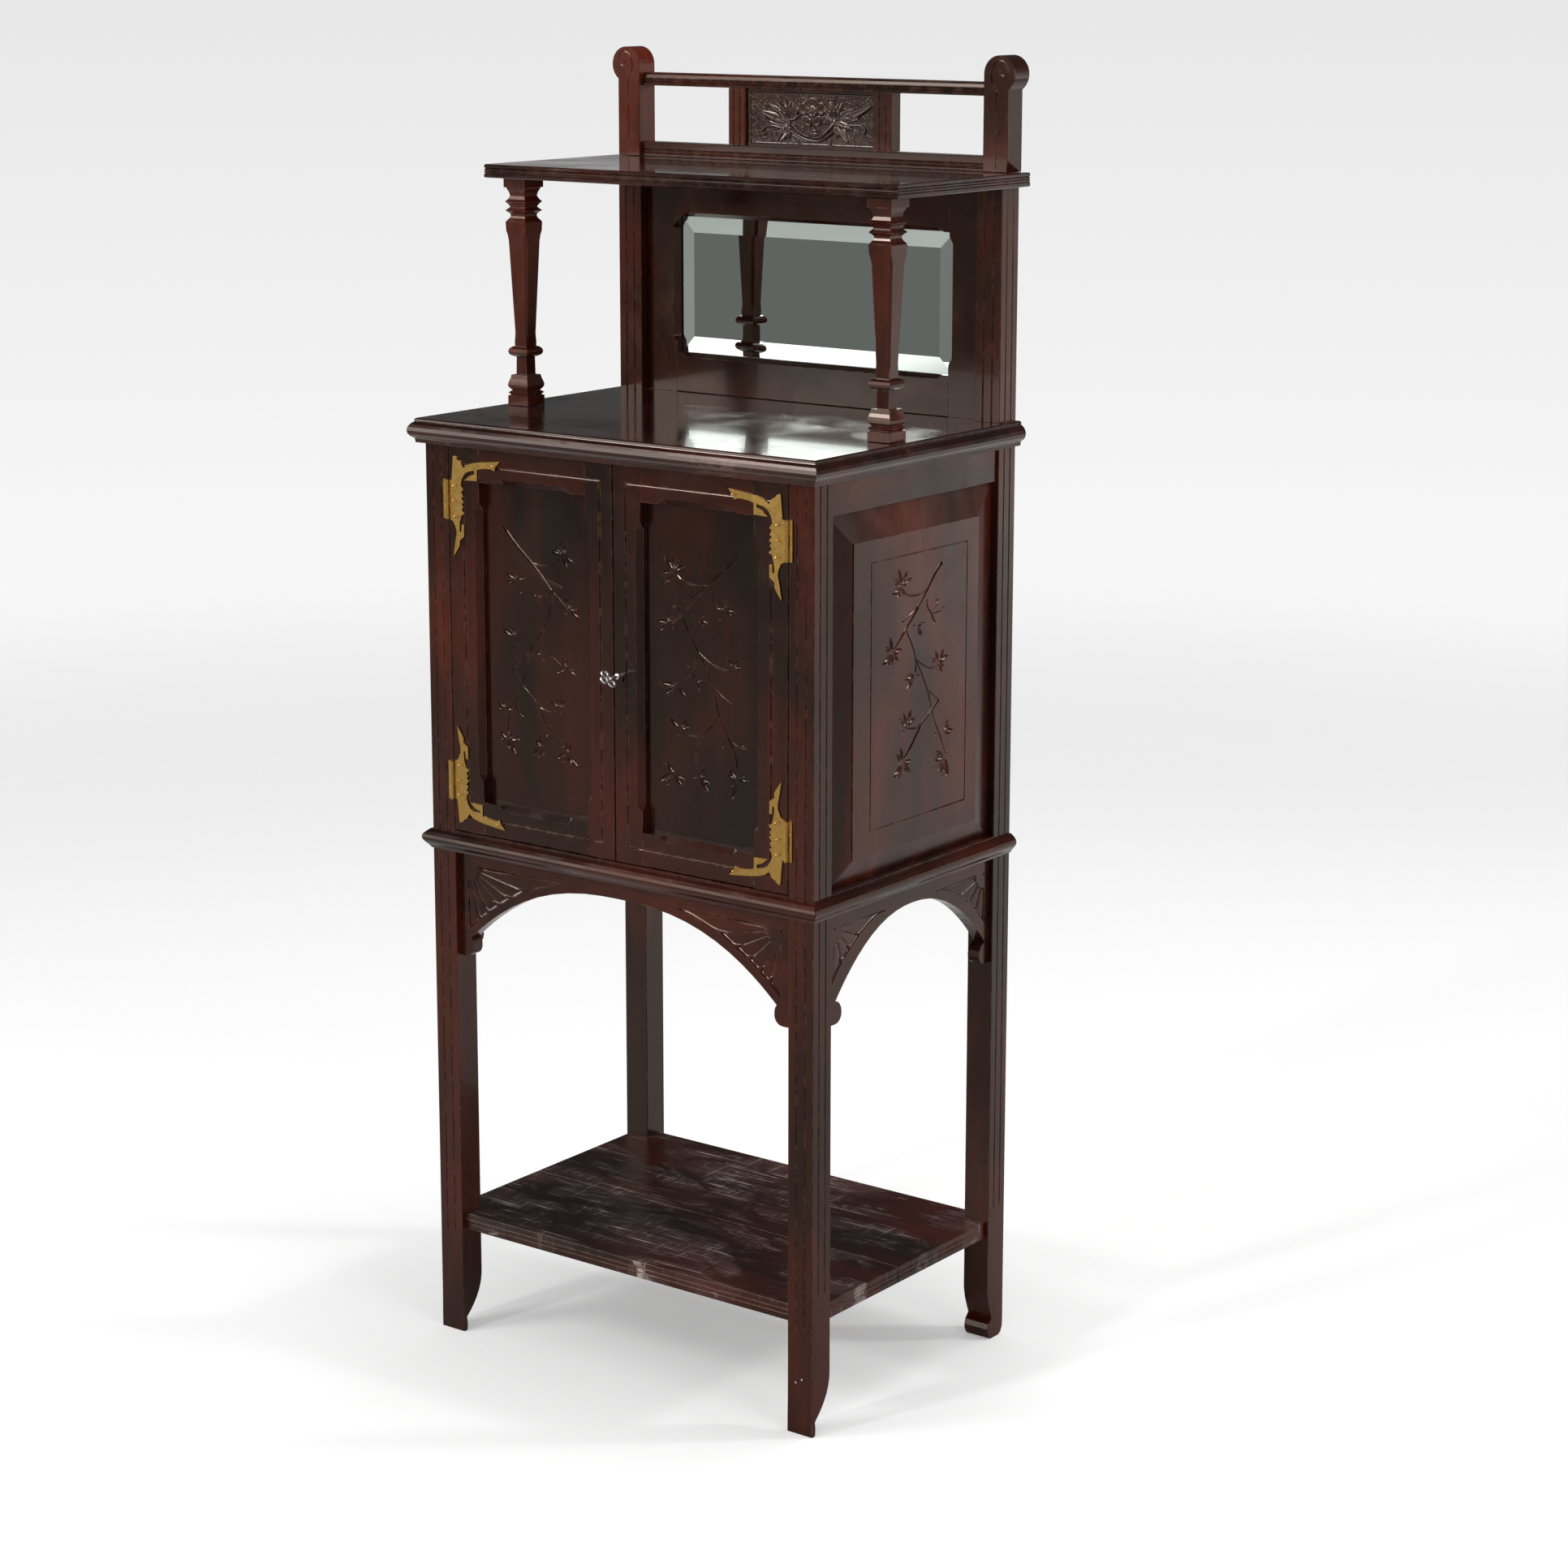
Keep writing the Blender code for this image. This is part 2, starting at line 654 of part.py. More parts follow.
def carcass_inside():
    """Back panel and the fixed inner shelf."""
    rear = REAR - BACK_PANEL_BACKSET
    front = rear - BACK_PANEL_THICK
    neck = LEG_IN - SEAT
    board("back_panel", (-neck, front, FLOOR_Z + SEAT), (neck, rear, TOP_UNDER - SEAT), PINE)
    half = HALF_W - PANEL_BACK - SEAT
    shelf_front = FRONT + INNER_SHELF_FRONT
    outline = notched_board(shelf_front, front - SEAT, LEG_BACK, REAR_LEG, half)
    low = FLOOR_Z + INNER_SHELF_UP
    high = low + INNER_SHELF_THICK
    levels = [(low, ARRIS), (low + ARRIS, 0.0), (high - ARRIS, 0.0), (high, ARRIS)]
    slab("inner_shelf", outline, levels, MAHOGANY)


def tongue_stations(start, end, stop):
    """(position, share of the chamfer) along a member whose chamfer stops short."""
    steps = 5
    places = [(start, 0.0)]
    for i in range(steps + 1):
        t = i / steps
        share = t * t * (3.0 - 2.0 * t)
        places.append((start + stop + TONGUE * t, share))
    mirrored = [(start + end - s, share) for s, share in reversed(places)]
    return places + mirrored


def framed_member(name, place, start, end, stop, width, thick, chamfer, chamfer_d, slot, look=MAHOGANY):
    """A frame member with a stopped chamfer in front and a groove or rebate for its panel.

    place(s, u, d) puts the point at s along the member, u across it from its outer edge
    and d behind its front face. slot is (from, to, depth) of the groove in its inner edge.
    """
    rings = []
    for s, share in tongue_stations(start, end, stop):
        cut_u = 0.0002 + (chamfer - 0.0002) * share
        cut_d = 0.0002 + (chamfer_d - 0.0002) * share
        low, high, deep = slot
        section = [(0.0, ARRIS), (ARRIS, 0.0), (width - cut_u, 0.0), (width, cut_d), (width, low)]
        section += [(width - deep, low), (width - deep, high)]
        if high < thick:
            section += [(width, high), (width, thick)]
        section += [(ARRIS, thick), (0.0, thick - ARRIS)]
        rings.append([place(s, u, d) for u, d in section])
    verts, faces = loft(rings)
    return solid(name, verts, faces, look)


def door(side):
    """One framed and panelled door; returns its pieces by name."""
    word = "left" if side < 0 else "right"
    slot = (DOOR_PANEL_BACKSET - SEAT, DOOR_PANEL_BACKSET + DOOR_PANEL_THICK + SEAT, GROOVE_D)
    stop = DOOR_RAIL_W + CHAMFER_STOP
    hinge_in = DOOR_OUT - HINGE_STILE_W
    meet_in = DOOR_MEET + MEETING_STILE_W
    pieces = []
    pieces.append(framed_member(
        f"door_{word}_hinge_stile", lambda s, u, d: (side * (DOOR_OUT - u), FRONT + d, s),
        DOOR_FOOT, DOOR_HEAD, stop, HINGE_STILE_W, DOOR_THICK, CHAMFER, CHAMFER_D, slot,
    ))
    meeting = framed_member(
        f"door_{word}_meeting_stile", lambda s, u, d: (side * (DOOR_MEET + u), FRONT + d, s),
        DOOR_FOOT, DOOR_HEAD, stop, MEETING_STILE_W, DOOR_THICK, CHAMFER, CHAMFER_D, slot,
    )
    pieces.append(meeting)
    rail_start = meet_in + SEAT
    rail_end = hinge_in - SEAT
    for place_word, edge, inward in (("top", DOOR_HEAD, -1.0), ("bottom", DOOR_FOOT, 1.0)):
        pieces.append(framed_member(
            f"door_{word}_{place_word}_rail",
            lambda s, u, d, e=edge, i=inward: (side * s, FRONT + d, e + i * u),
            rail_start, rail_end, CHAMFER_STOP, DOOR_RAIL_W, DOOR_THICK, CHAMFER, CHAMFER_D, slot,
        ))
    tuck = GROOVE_D - 2 * SEAT
    x0 = min(side * (meet_in - tuck), side * (hinge_in + tuck))
    x1 = max(side * (meet_in - tuck), side * (hinge_in + tuck))
    front = FRONT + DOOR_PANEL_BACKSET
    low = (x0, front, DOOR_FOOT + DOOR_RAIL_W - tuck)
    high = (x1, front + DOOR_PANEL_THICK, DOOR_HEAD - DOOR_RAIL_W + tuck)
    pieces.append(board(f"door_{word}_panel", low, high, MAHOGANY))
    cut_for_lock(meeting, side)
    pivot = bpy.data.objects.new(f"door_{word}_pivot", None)
    pivot.location = (side * HINGE_X, HINGE_Y, DOOR_FOOT)
    bpy.context.scene.collection.objects.link(pivot)
    return pieces, pivot


def drop_x():
    """Centre of the drop bolt across the left door's meeting stile."""
    return -(DOOR_MEET + MEETING_STILE_W / 2)


def drop_y():
    """Centre of the drop bolt behind the front face."""
    return FRONT + DOOR_THICK - DROP_R - 0.0035


def bolt_box(extra):
    """Low and high corners of the lock bolt at rest, grown by extra."""
    x0 = DOOR_MEET + 0.0004
    y0 = FRONT + DOOR_THICK - LOCK_D + 0.0035
    z0 = KEY_Z + KEY_BIT + 0.0007
    low = (x0 - extra, y0 - extra, z0 - extra)
    high = (x0 + BOLT_L + extra, y0 + BOLT_THICK + extra, z0 + BOLT_H + extra)
    return low, high


def cut_for_lock(stile, side):
    """Cuts a meeting stile for what it holds."""
    back = FRONT + DOOR_THICK
    low, high = bolt_box(SEAT)
    if side > 0:
        x0 = lock_x0()
        pocket = box_tool(
            "lock_mortise", (x0 - SEAT, back - LOCK_D - SEAT, KEY_Z - LOCK_H / 2 - SEAT),
            (x0 + LOCK_W + SEAT, back + 0.01, KEY_Z + LOCK_H / 2 + SEAT),
        )
        boolean(stile, pocket, "DIFFERENCE")
        mouth = box_tool("bolt_mouth", (DOOR_MEET - 0.01, low[1], low[2]), (x0 + 0.001, high[1], high[2]))
        boolean(stile, mouth, "DIFFERENCE")
        bore = round_tool(
            "keyhole", lambda u, v, w: (KEY_X + u, w, KEY_Z + v), KEYHOLE_R, FRONT - 0.01, back - LOCK_D + 0.001,
        )
        boolean(stile, bore, "DIFFERENCE")
        slot = box_tool(
            "keyhole_slot", (KEY_X - 0.0012, FRONT - 0.01, KEY_Z - KEYHOLE_SLOT),
            (KEY_X + 0.0012, back - LOCK_D + 0.001, KEY_Z),
        )
        boolean(stile, slot, "DIFFERENCE")
        return
    low, high = bolt_box(BOLT_PLAY)
    keep = box_tool(
        "bolt_mortise", (-DOOR_MEET - BOLT_THROW - 0.001, low[1], low[2]),
        (-DOOR_MEET + 0.01, high[1], high[2]),
    )
    boolean(stile, keep, "DIFFERENCE")
    bore = round_tool(
        "drop_bolt_bore", lambda u, v, w: (drop_x() + u, drop_y() + v, w),
        DROP_R + SEAT, DOOR_FOOT - 0.01, DOOR_FOOT + DROP_L + 0.002,
    )
    boolean(stile, bore, "DIFFERENCE")
    knob = knob_z()
    half = DROP_KNOB_R + SEAT
    slot = box_tool(
        "knob_slot", (drop_x() - half, drop_y(), knob - DROP_THROW - half - 0.001),
        (drop_x() + half, back + 0.01, knob + half + 0.001),
    )
    boolean(stile, slot, "DIFFERENCE")


def lock_x0():
    """Edge of the lock case nearest the meeting edge of the right door."""
    return DOOR_MEET + 0.0035


def knob_z():
    """Height of the drop bolt's knob at rest."""
    return DOOR_FOOT + DROP_L - 0.012


def lock_case():
    """The cut lock's case: a back plate with four walls, open towards the door's front."""
    back = FRONT + DOOR_THICK
    x0 = lock_x0()
    x1 = x0 + LOCK_W
    z0 = KEY_Z - LOCK_H / 2
    z1 = KEY_Z + LOCK_H / 2
    rings = [
        [(x0, z0), (x1, z0), (x1, z1), (x0, z1)],
        [(x0, z0), (x1, z0), (x1, z1), (x0, z1)],
    ]
    verts, faces = loft([
        [(x, back - LOCK_D, z) for x, z in rings[0]],
        [(x, back, z) for x, z in rings[1]],
    ])
    made = solid("lock_case", verts, faces, STEEL)
    inside = box_tool(
        "lock_inside", (x0 + LOCK_WALL, back - LOCK_D - 0.01, z0 + LOCK_WALL),
        (x1 - LOCK_WALL, back - LOCK_WALL, z1 - LOCK_WALL),
    )
    boolean(made, inside, "DIFFERENCE")
    low, high = bolt_box(SEAT)
    mouth = box_tool("lock_mouth", (x0 - 0.01, low[1], low[2]), (x0 + LOCK_WALL + 0.001, high[1], high[2]))
    boolean(made, mouth, "DIFFERENCE")
    return made


def lock_bolt():
    """The lock's sliding bolt."""
    low, high = bolt_box(0.0)
    return board("lock_bolt", low, high, BRASS, cut=0.0004)


def key_place(u, v, w):
    """A point of the key: u along its shank, v away from its bit, w across its bow."""
    turn = math.radians(KEY_REST)
    x = KEY_X - v * math.sin(turn) + w * math.cos(turn)
    return (x, FRONT + u, KEY_Z + v * math.cos(turn) + w * math.sin(turn))


def key():
    """The key: a bow of three loops round a small eye, a collared shank and its bit."""
    bow = -KEY_REACH + KEY_LOOP_OUT + KEY_LOOP_R
    bit_front = DOOR_THICK - LOCK_D + 0.0022
    tip = DOOR_THICK - LOCK_WALL - 0.0030
    stations = [
        (bow + 0.0040, 0.0016), (-0.0125, 0.0018), (-0.0120, 0.0031), (-0.0105, 0.0034), (-0.0090, 0.0031),
        (-0.0085, KEY_SHANK_R), (tip - 0.0005, KEY_SHANK_R), (tip, KEY_SHANK_R - 0.0005),
    ]
    rings = []
    for u, r in stations:
        rings.append([key_place(u, v, w) for v, w in arc(0.0, 0.0, r, 0.0, 330.0, 11)])
    verts, faces = loft(rings)
    made = solid("key", verts, faces, STEEL, origin=(KEY_X, FRONT, KEY_Z), smooth=True)
    loops = [
        ("middle", 0.0, 0.0, KEY_LOOP_OUT - KEY_EYE_R + 0.0010, 0.0024),
        ("end", -KEY_LOOP_OUT, 0.0, KEY_LOOP_R, KEY_EYE_R),
        ("upper", 0.0, KEY_LOOP_OUT, KEY_LOOP_R, KEY_EYE_R),
        ("lower", 0.0, -KEY_LOOP_OUT, KEY_LOOP_R, KEY_EYE_R),
    ]
    half = KEY_PLATE / 2
    for word, u, v, radius, _ in loops:

        def place(a, b, w, u=u, v=v):
            return key_place(bow + u + a, v + b, w)

        boolean(made, round_tool(f"key_loop_{word}", place, radius, -half, half, 20), "UNION")
    for word, u, v, _, eye in loops:

        def place(a, b, w, u=u, v=v):
            return key_place(bow + u + a, v + b, w)

        boolean(made, round_tool(f"key_eye_{word}", place, eye, -0.01, 0.01, 14), "DIFFERENCE")
    bit = []
    for u in (bit_front, tip - 0.0010):
        bit.append([
            key_place(u, v, w)
            for v, w in ((-KEY_BIT, -0.0008), (-0.0008, -0.0008), (-0.0008, 0.0008), (-KEY_BIT, 0.0008))
        ])
    boolean(made, helper("key_bit", *loft(bit)), "UNION")
    return made


def drop_bolt():
    """The drop bolt bored into the left door's meeting stile, with its knob."""
    foot = DOOR_FOOT + 0.0003
    head = DOOR_FOOT + DROP_L
    ring = arc(0.0, 0.0, DROP_R, 0.0, 330.0, 11)
    small = arc(0.0, 0.0, DROP_R - 0.0006, 0.0, 330.0, 11)
    rings = []
    for z, outline in ((foot, small), (foot + 0.0006, ring), (head - 0.0006, ring), (head, small)):
        rings.append([(drop_x() + u, drop_y() + v, z) for u, v in outline])
    verts, faces = loft(rings)
    made = solid("drop_bolt", verts, faces, BRASS, smooth=True)
    knob = round_tool(
        "drop_bolt_knob", lambda u, v, w: (drop_x() + u, w, knob_z() + v),
        DROP_KNOB_R, drop_y() + 0.0002, FRONT + DOOR_THICK + 0.006, 12,
    )
    boolean(made, knob, "UNION")
    return made


def leaf_outline():
    """The ornate leaf of an upper hinge, as a branch that bends over the door's corner.

    Each point is (distance from the hinge's axis, height over the top of the knuckles),
    in lengths of the knuckles.
    """
    spur = [(0.200, 0.611), (0.300, 0.582), (0.360, 0.516), (0.456, 0.471)]
    arm_over = [(0.538, 0.333), (0.689, 0.436), (0.889, 0.493), (1.111, 0.524), (1.333, 0.551)]
    tip = [(1.756, 0.596), (1.604, 0.436), (1.573, 0.342), (1.456, 0.391)]
    arm_under = [(1.300, 0.382), (1.133, 0.362), (1.000, 0.324)]
    flag = [(0.996, 0.040), (0.582, 0.027), (0.733, 0.147), (0.916, 0.213), (0.900, 0.302)]
    crook = [(0.711, 0.262), (0.582, 0.191), (0.493, 0.067)]
    thorns = [
        (0.453, -0.044), (0.453, -0.133), (0.533, -0.240), (0.458, -0.271), (0.524, -0.400),
        (0.453, -0.436), (0.547, -0.547), (0.462, -0.582), (0.524, -0.667), (0.458, -0.733),
        (0.560, -0.827), (0.453, -0.880),
    ]
    hook = [
        (0.396, -1.067), (0.382, -1.289), (0.436, -1.316), (0.453, -1.111), (0.533, -1.111),
        (0.529, -1.422), (0.378, -1.533), (0.382, -1.649), (0.333, -1.733),
    ]
    tail = [(0.169, -1.956), (0.222, -1.633), (0.280, -1.378), (0.271, -1.244), (0.187, -1.067)]
    shape = spur + arm_over + tip + arm_under + flag + crook + thorns + hook + tail
    return [(HINGE_L * u, HINGE_L * v) for u, v in shape]


def hinge(side, upper):
    """One hinge: the plain post leaf with its pin, and the ornate door leaf."""
    word = f"{'upper' if upper else 'lower'}_{'left' if side < 0 else 'right'}"
    axis_x = side * HINGE_X
    flip = 1.0 if upper else -1.0
    mark = DOOR_HEAD - HINGE_HEAD_INSET if upper else DOOR_FOOT + HINGE_FOOT_INSET
    low = mark - HINGE_L if upper else mark
    third = HINGE_L / 3

    def along(u, v, w):
        return (axis_x + u, HINGE_Y + v, w)

    def plate(u, v, w):
        return (axis_x - side * u, w, mark + flip * v)

    edge = KNUCKLE_R + SEAT
    inner = edge - 0.0016
    middle_low = -2 * third + SEAT
    middle_high = -third - SEAT
    stem = [
        (edge, -HINGE_L), (edge, middle_low), (inner, middle_low), (inner, middle_high), (edge, middle_high),
        (edge, -0.0004), (0.0064, -0.0004),
    ]
    verts, faces = loft([[plate(u, v, w) for u, v in stem + leaf_outline()] for w in (LEAF_FRONT, LEAF_BACK)])
    leaf = solid(f"hinge_{word}_door_leaf", verts, faces, BRASS)
    knuckle = round_tool(f"knuckle_{word}_door", along, KNUCKLE_R, low + third + SEAT, low + 2 * third - SEAT)
    boolean(leaf, knuckle, "UNION")
    bore = round_tool(f"bore_{word}_door", along, PIN_BORE, low - 0.005, low + HINGE_L + 0.005)
    boolean(leaf, bore, "DIFFERENCE")

    outer = edge + POST_LEAF_W
    strip = [
        (-outer, -HINGE_L), (-inner, -HINGE_L), (-inner, -2 * third - SEAT), (-edge, -2 * third - SEAT),
        (-edge, -third + SEAT), (-inner, -third + SEAT), (-inner, 0.0), (-outer, 0.0),
    ]
    verts, faces = loft([[plate(u, v, w) for u, v in strip] for w in (LEAF_FRONT, LEAF_BACK)])
    post = solid(f"hinge_{word}_post_leaf", verts, faces, BRASS)
    pin = round_tool(f"pin_{word}", along, PIN_R, low + 0.001, low + HINGE_L - 0.001, 12)
    for end, start in (("foot", low), ("head", low + 2 * third + SEAT)):
        knuckle = round_tool(f"knuckle_{word}_{end}", along, KNUCKLE_R, start, start + third - SEAT)
        boolean(post, knuckle, "UNION")
    boolean(post, pin, "UNION")
    return leaf, post


def doors_and_hardware():
    """Both doors with their hinges, lock, key and bolts, each door on its pivot."""
    for side in (-1.0, 1.0):
        pieces, pivot = door(side)
        for upper in (True, False):
            leaf, _ = hinge(side, upper)
            pieces.append(leaf)
        if side > 0:
            pieces += [lock_case(), lock_bolt(), key()]
        else:
            pieces.append(drop_bolt())
        for piece in pieces:
            piece.parent = pivot
            piece.location = [c - p for c, p in zip(piece.location, pivot.location)]


def upper_posts():
    """The two posts that carry the mirror and the back of the upper shelf."""
    for word, side in (("left", -1.0), ("right", 1.0)):
        rings = []
        for z in (TOP_Z + SEAT, UPPER_UNDER - SEAT):
            rings.append(leg_ring(side, z, REAR_LEG, REAR, REED_D, REED_D))
        verts, faces = loft(rings)
        solid(f"upper_post_{word}", verts, faces, MAHOGANY)


def mirror_back():
    """The mirror's frame, its bevelled plate and the backing board."""
    front = REAR_LEG + FRAME_BACKSET
    foot = TOP_Z + SEAT
    head = UPPER_UNDER - SEAT
    out = LEG_IN - SEAT
    slot = (REBATE_FROM, FRAME_THICK, REBATE_W)
    inner = out - FRAME_STILE_W
    for word, side in (("left", -1.0), ("right", 1.0)):
        framed_member(
            f"mirror_stile_{word}", lambda s, u, d, w=side: (w * (out - u), front + d, s),
            foot, head, FRAME_HEAD_W + 0.004, FRAME_STILE_W, FRAME_THICK, FRAME_CHAMFER, FRAME_CHAMFER_D, slot,
        )
    end = inner - SEAT
    for word, edge, inward, width in (("bottom", foot, 1.0, FRAME_FOOT_W), ("top", head, -1.0, FRAME_HEAD_W)):
        framed_member(
            f"mirror_rail_{word}", lambda s, u, d, e=edge, i=inward: (s, front + d, e + i * u),
            -end, end, 0.006, width, FRAME_THICK, FRAME_CHAMFER, FRAME_CHAMFER_D, slot,
        )
    tuck = REBATE_W - SEAT
    half = inner + tuck
    low = foot + FRAME_FOOT_W - tuck
    high = head - FRAME_HEAD_W + tuck
    face = front + REBATE_FROM + SEAT
    rear = face + GLASS_THICK
    rings = []
    for y, inset in ((rear, 0.0), (face + GLASS_BEVEL_D, 0.0), (face + GLASS_BEVEL_D, 0.0), (face, 1.0)):
        d = inset * (tuck + GLASS_BEVEL)
        edge = tuck if (y < rear and not inset and len(rings) == 2) else 0.0
        d = max(d, edge)
        rings.append([(-half + d, y, low + d), (half - d, y, low + d), (half - d, y, high - d), (-half + d, y, high - d)])
    verts, faces = loft(rings)
    solid("mirror_glass", verts, faces, MIRROR)
    board("mirror_backing", (-half, rear + SEAT, low), (half, rear + SEAT + BACKING_THICK - 0.0004, high), PINE, cut=0.0004)


def upper_shelf():
    """The upper shelf, with a top bead and two reeds along its edges."""

    def outline(inset):
        half = UPPER_HALF_W - inset
        near = UPPER_FRONT + inset
        return [(-half, near), (half, near), (half, UPPER_REAR), (-half, UPPER_REAR)]

    profile = [
        (0.0, 0.62), (0.065, 0.0), (0.270, 0.0), (0.323, 0.80), (0.361, 0.20), (0.465, 0.20), (0.503, 0.80),
        (0.555, 0.20), (0.645, 0.20), (0.697, 1.0), (0.748, 0.12), (0.929, 0.12), (1.0, 0.88),
    ]
    levels = [(UPPER_UNDER + UPPER_THICK * up, UPPER_EDGE * inset) for up, inset in profile]
    slab("upper_shelf", outline, levels, MAHOGANY)


def baluster_profile():
    """(height, half width, corner cut) along a square-turned baluster."""
    sharp = 0.0003
    total = BAY_H - 2 * SEAT
    base = [
        (0.000, 0.97), (0.009, 1.00), (0.162, 1.00), (0.171, 0.84), (0.188, 0.88), (0.209, 0.99),
        (0.229, 0.89), (0.249, 0.76), (0.270, 0.84), (0.301, 0.96), (0.345, 1.01), (0.394, 0.96),
        (0.449, 0.87), (0.513, 0.80), (0.522, 0.53), (0.812, 0.51), (0.832, 0.72), (0.858, 0.89),
        (0.906, 0.97), (0.954, 0.91), (0.986, 0.75),
    ]
    cap = [
        (0.960, 0.84), (0.913, 0.72), (0.866, 0.66), (0.814, 0.68), (0.779, 0.79), (0.743, 0.93),
        (0.708, 0.83), (0.660, 0.68), (0.601, 0.77), (0.538, 0.94), (0.482, 0.79), (0.407, 0.68),
        (0.328, 0.73), (0.245, 0.85), (0.221, 0.86), (0.213, 1.00), (0.012, 1.00), (0.000, 0.98),
    ]
    profile = [(BASE_H * up, PLINTH_HALF * half, sharp) for up, half in base]
    shaft_high = total - CAP_H
    length = shaft_high - BASE_H

    def shaft_half(z):
        return SHAFT_FOOT_HALF + (SHAFT_HEAD_HALF - SHAFT_FOOT_HALF) * (z - BASE_H) / length

    for share, cut in (
        (0.0, 0.0), (0.035, 0.0), (0.070, 0.47), (0.110, 0.76), (0.850, 1.0), (0.897, 0.65), (0.931, 0.0),
        (1.0, 0.0),
    ):
        z = BASE_H + length * share
        profile.append((z, shaft_half(z), max(sharp, SHAFT_STOP_CUT * cut)))
    profile += [(total - CAP_H * down, ABACUS_HALF * half, sharp) for down, half in cap]
    return profile


def balusters():
    """The two front supports of the upper shelf."""
    for word, side in (("left", -1.0), ("right", 1.0)):
        x = side * (UPPER_HALF_W - BALUSTER_SIDE_INSET)
        y = UPPER_FRONT + BALUSTER_FRONT_INSET
        rings = []
        for z, half, cut in baluster_profile():
            ring = cut_rectangle(x - half, x + half, y - half, y + half, cut)
            rings.append([(a, b, TOP_Z + SEAT + z) for a, b in ring])
        verts, faces = loft(rings)
        solid(f"baluster_{word}", verts, faces, MAHOGANY)


def gallery_posts():
    """The gallery's end posts, each ending in a scroll that curls outward."""
    inner = GALLERY_IN
    centre_x = inner + SCROLL_R
    centre_z = SCROLL_TOP - SCROLL_R
    reach = GALLERY_OUT - centre_x
    drop = math.sqrt(SCROLL_R ** 2 - reach ** 2)
    end = -math.degrees(math.atan2(drop, reach))
    outline = [(inner, UPPER_TOP + SEAT)]
    outline += arc(centre_x, centre_z, SCROLL_R, 180.0, end, 22)
    outline.append((GALLERY_OUT, UPPER_TOP + SEAT))
    for word, side in (("left", -1.0), ("right", 1.0)):
        prism(
            f"gallery_post_{word}", outline, lambda u, v, w, s=side: (s * u, w, v),
            REAR - GALLERY_POST_D, REAR, MAHOGANY, cut=0.0008,
        )


def gallery_rail(name, low, high, rounded):
    """A gallery rail: two reeds on its front face, and a rounded or square top."""
    near = REAR - GALLERY_POST_D + GALLERY_BACKSET
    far = near + GALLERY_RAIL_THICK
    tall = high - low
    dip = 0.0016
    section = [(far - ARRIS, low), (near + ARRIS, low), (near, low + ARRIS)]
    for share in (0.24, 0.46):
        z = low + tall * share
        section += [(near, z - dip), (near + dip, z), (near, z + dip)]
    if rounded:
        section.append((near, low + tall * 0.58))
        section.append((near + 0.0022, low + tall * 0.60))
        radius = (far - near) / 2 - 0.0022
        section += [
            (y, z) for y, z in arc((near + far) / 2, high - radius * 0.75, radius, 180.0, 0.0, 8)
        ]
        section = [(y, min(z, high)) for y, z in section]
        section.append((far, low + tall * 0.58))
    else:
        section += [(near, high - ARRIS), (near + ARRIS, high), (far - ARRIS, high), (far, high - ARRIS)]
    section.append((far, low + ARRIS))
    half = GALLERY_IN - SEAT
    prism(name, section, lambda u, v, w: (w, u, v), -half, half, MAHOGANY)


def gallery():
    """Rails, muntins and the carved panel's ground between the gallery posts."""
    gallery_rail("gallery_rail_bottom", UPPER_TOP + SEAT, FOOT_RAIL_TOP, False)
    gallery_rail("gallery_rail_top", HEAD_RAIL_UNDER, HEAD_RAIL_TOP, True)
    low = FOOT_RAIL_TOP + SEAT
    high = HEAD_RAIL_UNDER - SEAT
    near = REAR - GALLERY_POST_D + GALLERY_BACKSET + 0.001
    bead = 0.0012
    half = MUNTIN_W / 2
    far = near + MUNTIN_THICK
    for word, side in (("left", -1.0), ("right", 1.0)):
        x = side * MUNTIN_X
        outline = [(x - half, near + bead), (x - half + bead, near)]
        for offset in (-0.0045, 0.0045):
            outline += [(x + offset - bead, near), (x + offset, near + bead), (x + offset + bead, near)]
        outline += [(x + half - bead, near), (x + half, near + bead), (x + half, far), (x - half, far)]
        prism(f"gallery_muntin_{word}", outline, lambda u, v, w: (u, v, w), low, high, MAHOGANY)
    edge = MUNTIN_X - half - SEAT
    panel_near = near + 0.004
    board("gallery_panel", (-edge, panel_near, low), (edge, panel_near + GALLERY_PANEL_THICK, high), MAHOGANY)


def main():
    clear_scene()
    for word, side in (("left", -1.0), ("right", 1.0)):
        front_leg(f"leg_front_{word}", side)
        back_leg(f"leg_back_{word}", side)
    lower_shelf()
    aprons()
    carcass_floor()
    waist_moulding()
    top_board()
    side_panels()
    carcass_inside()
    doors_and_hardware()
    upper_posts()
    mirror_back()
    upper_shelf()
    balusters()
    gallery_posts()
    gallery()


main()
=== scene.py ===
"""Looks of a tall mirror-backed side cabinet in dark polished mahogany.

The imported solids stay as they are. Where the real piece is carved, a node is replaced by a copy
of itself that is cut with gouges, so the carving is real relief: prunus sprays on the doors and
sides, fans on the aprons, scrolls on the gallery posts, and a flower panel over the mirror.
"""

from __future__ import annotations

import json
import logging
import math
from dataclasses import dataclass, field, replace
from enum import Enum

import bmesh
import bpy
import numpy as np
from mathutils import Matrix, Vector

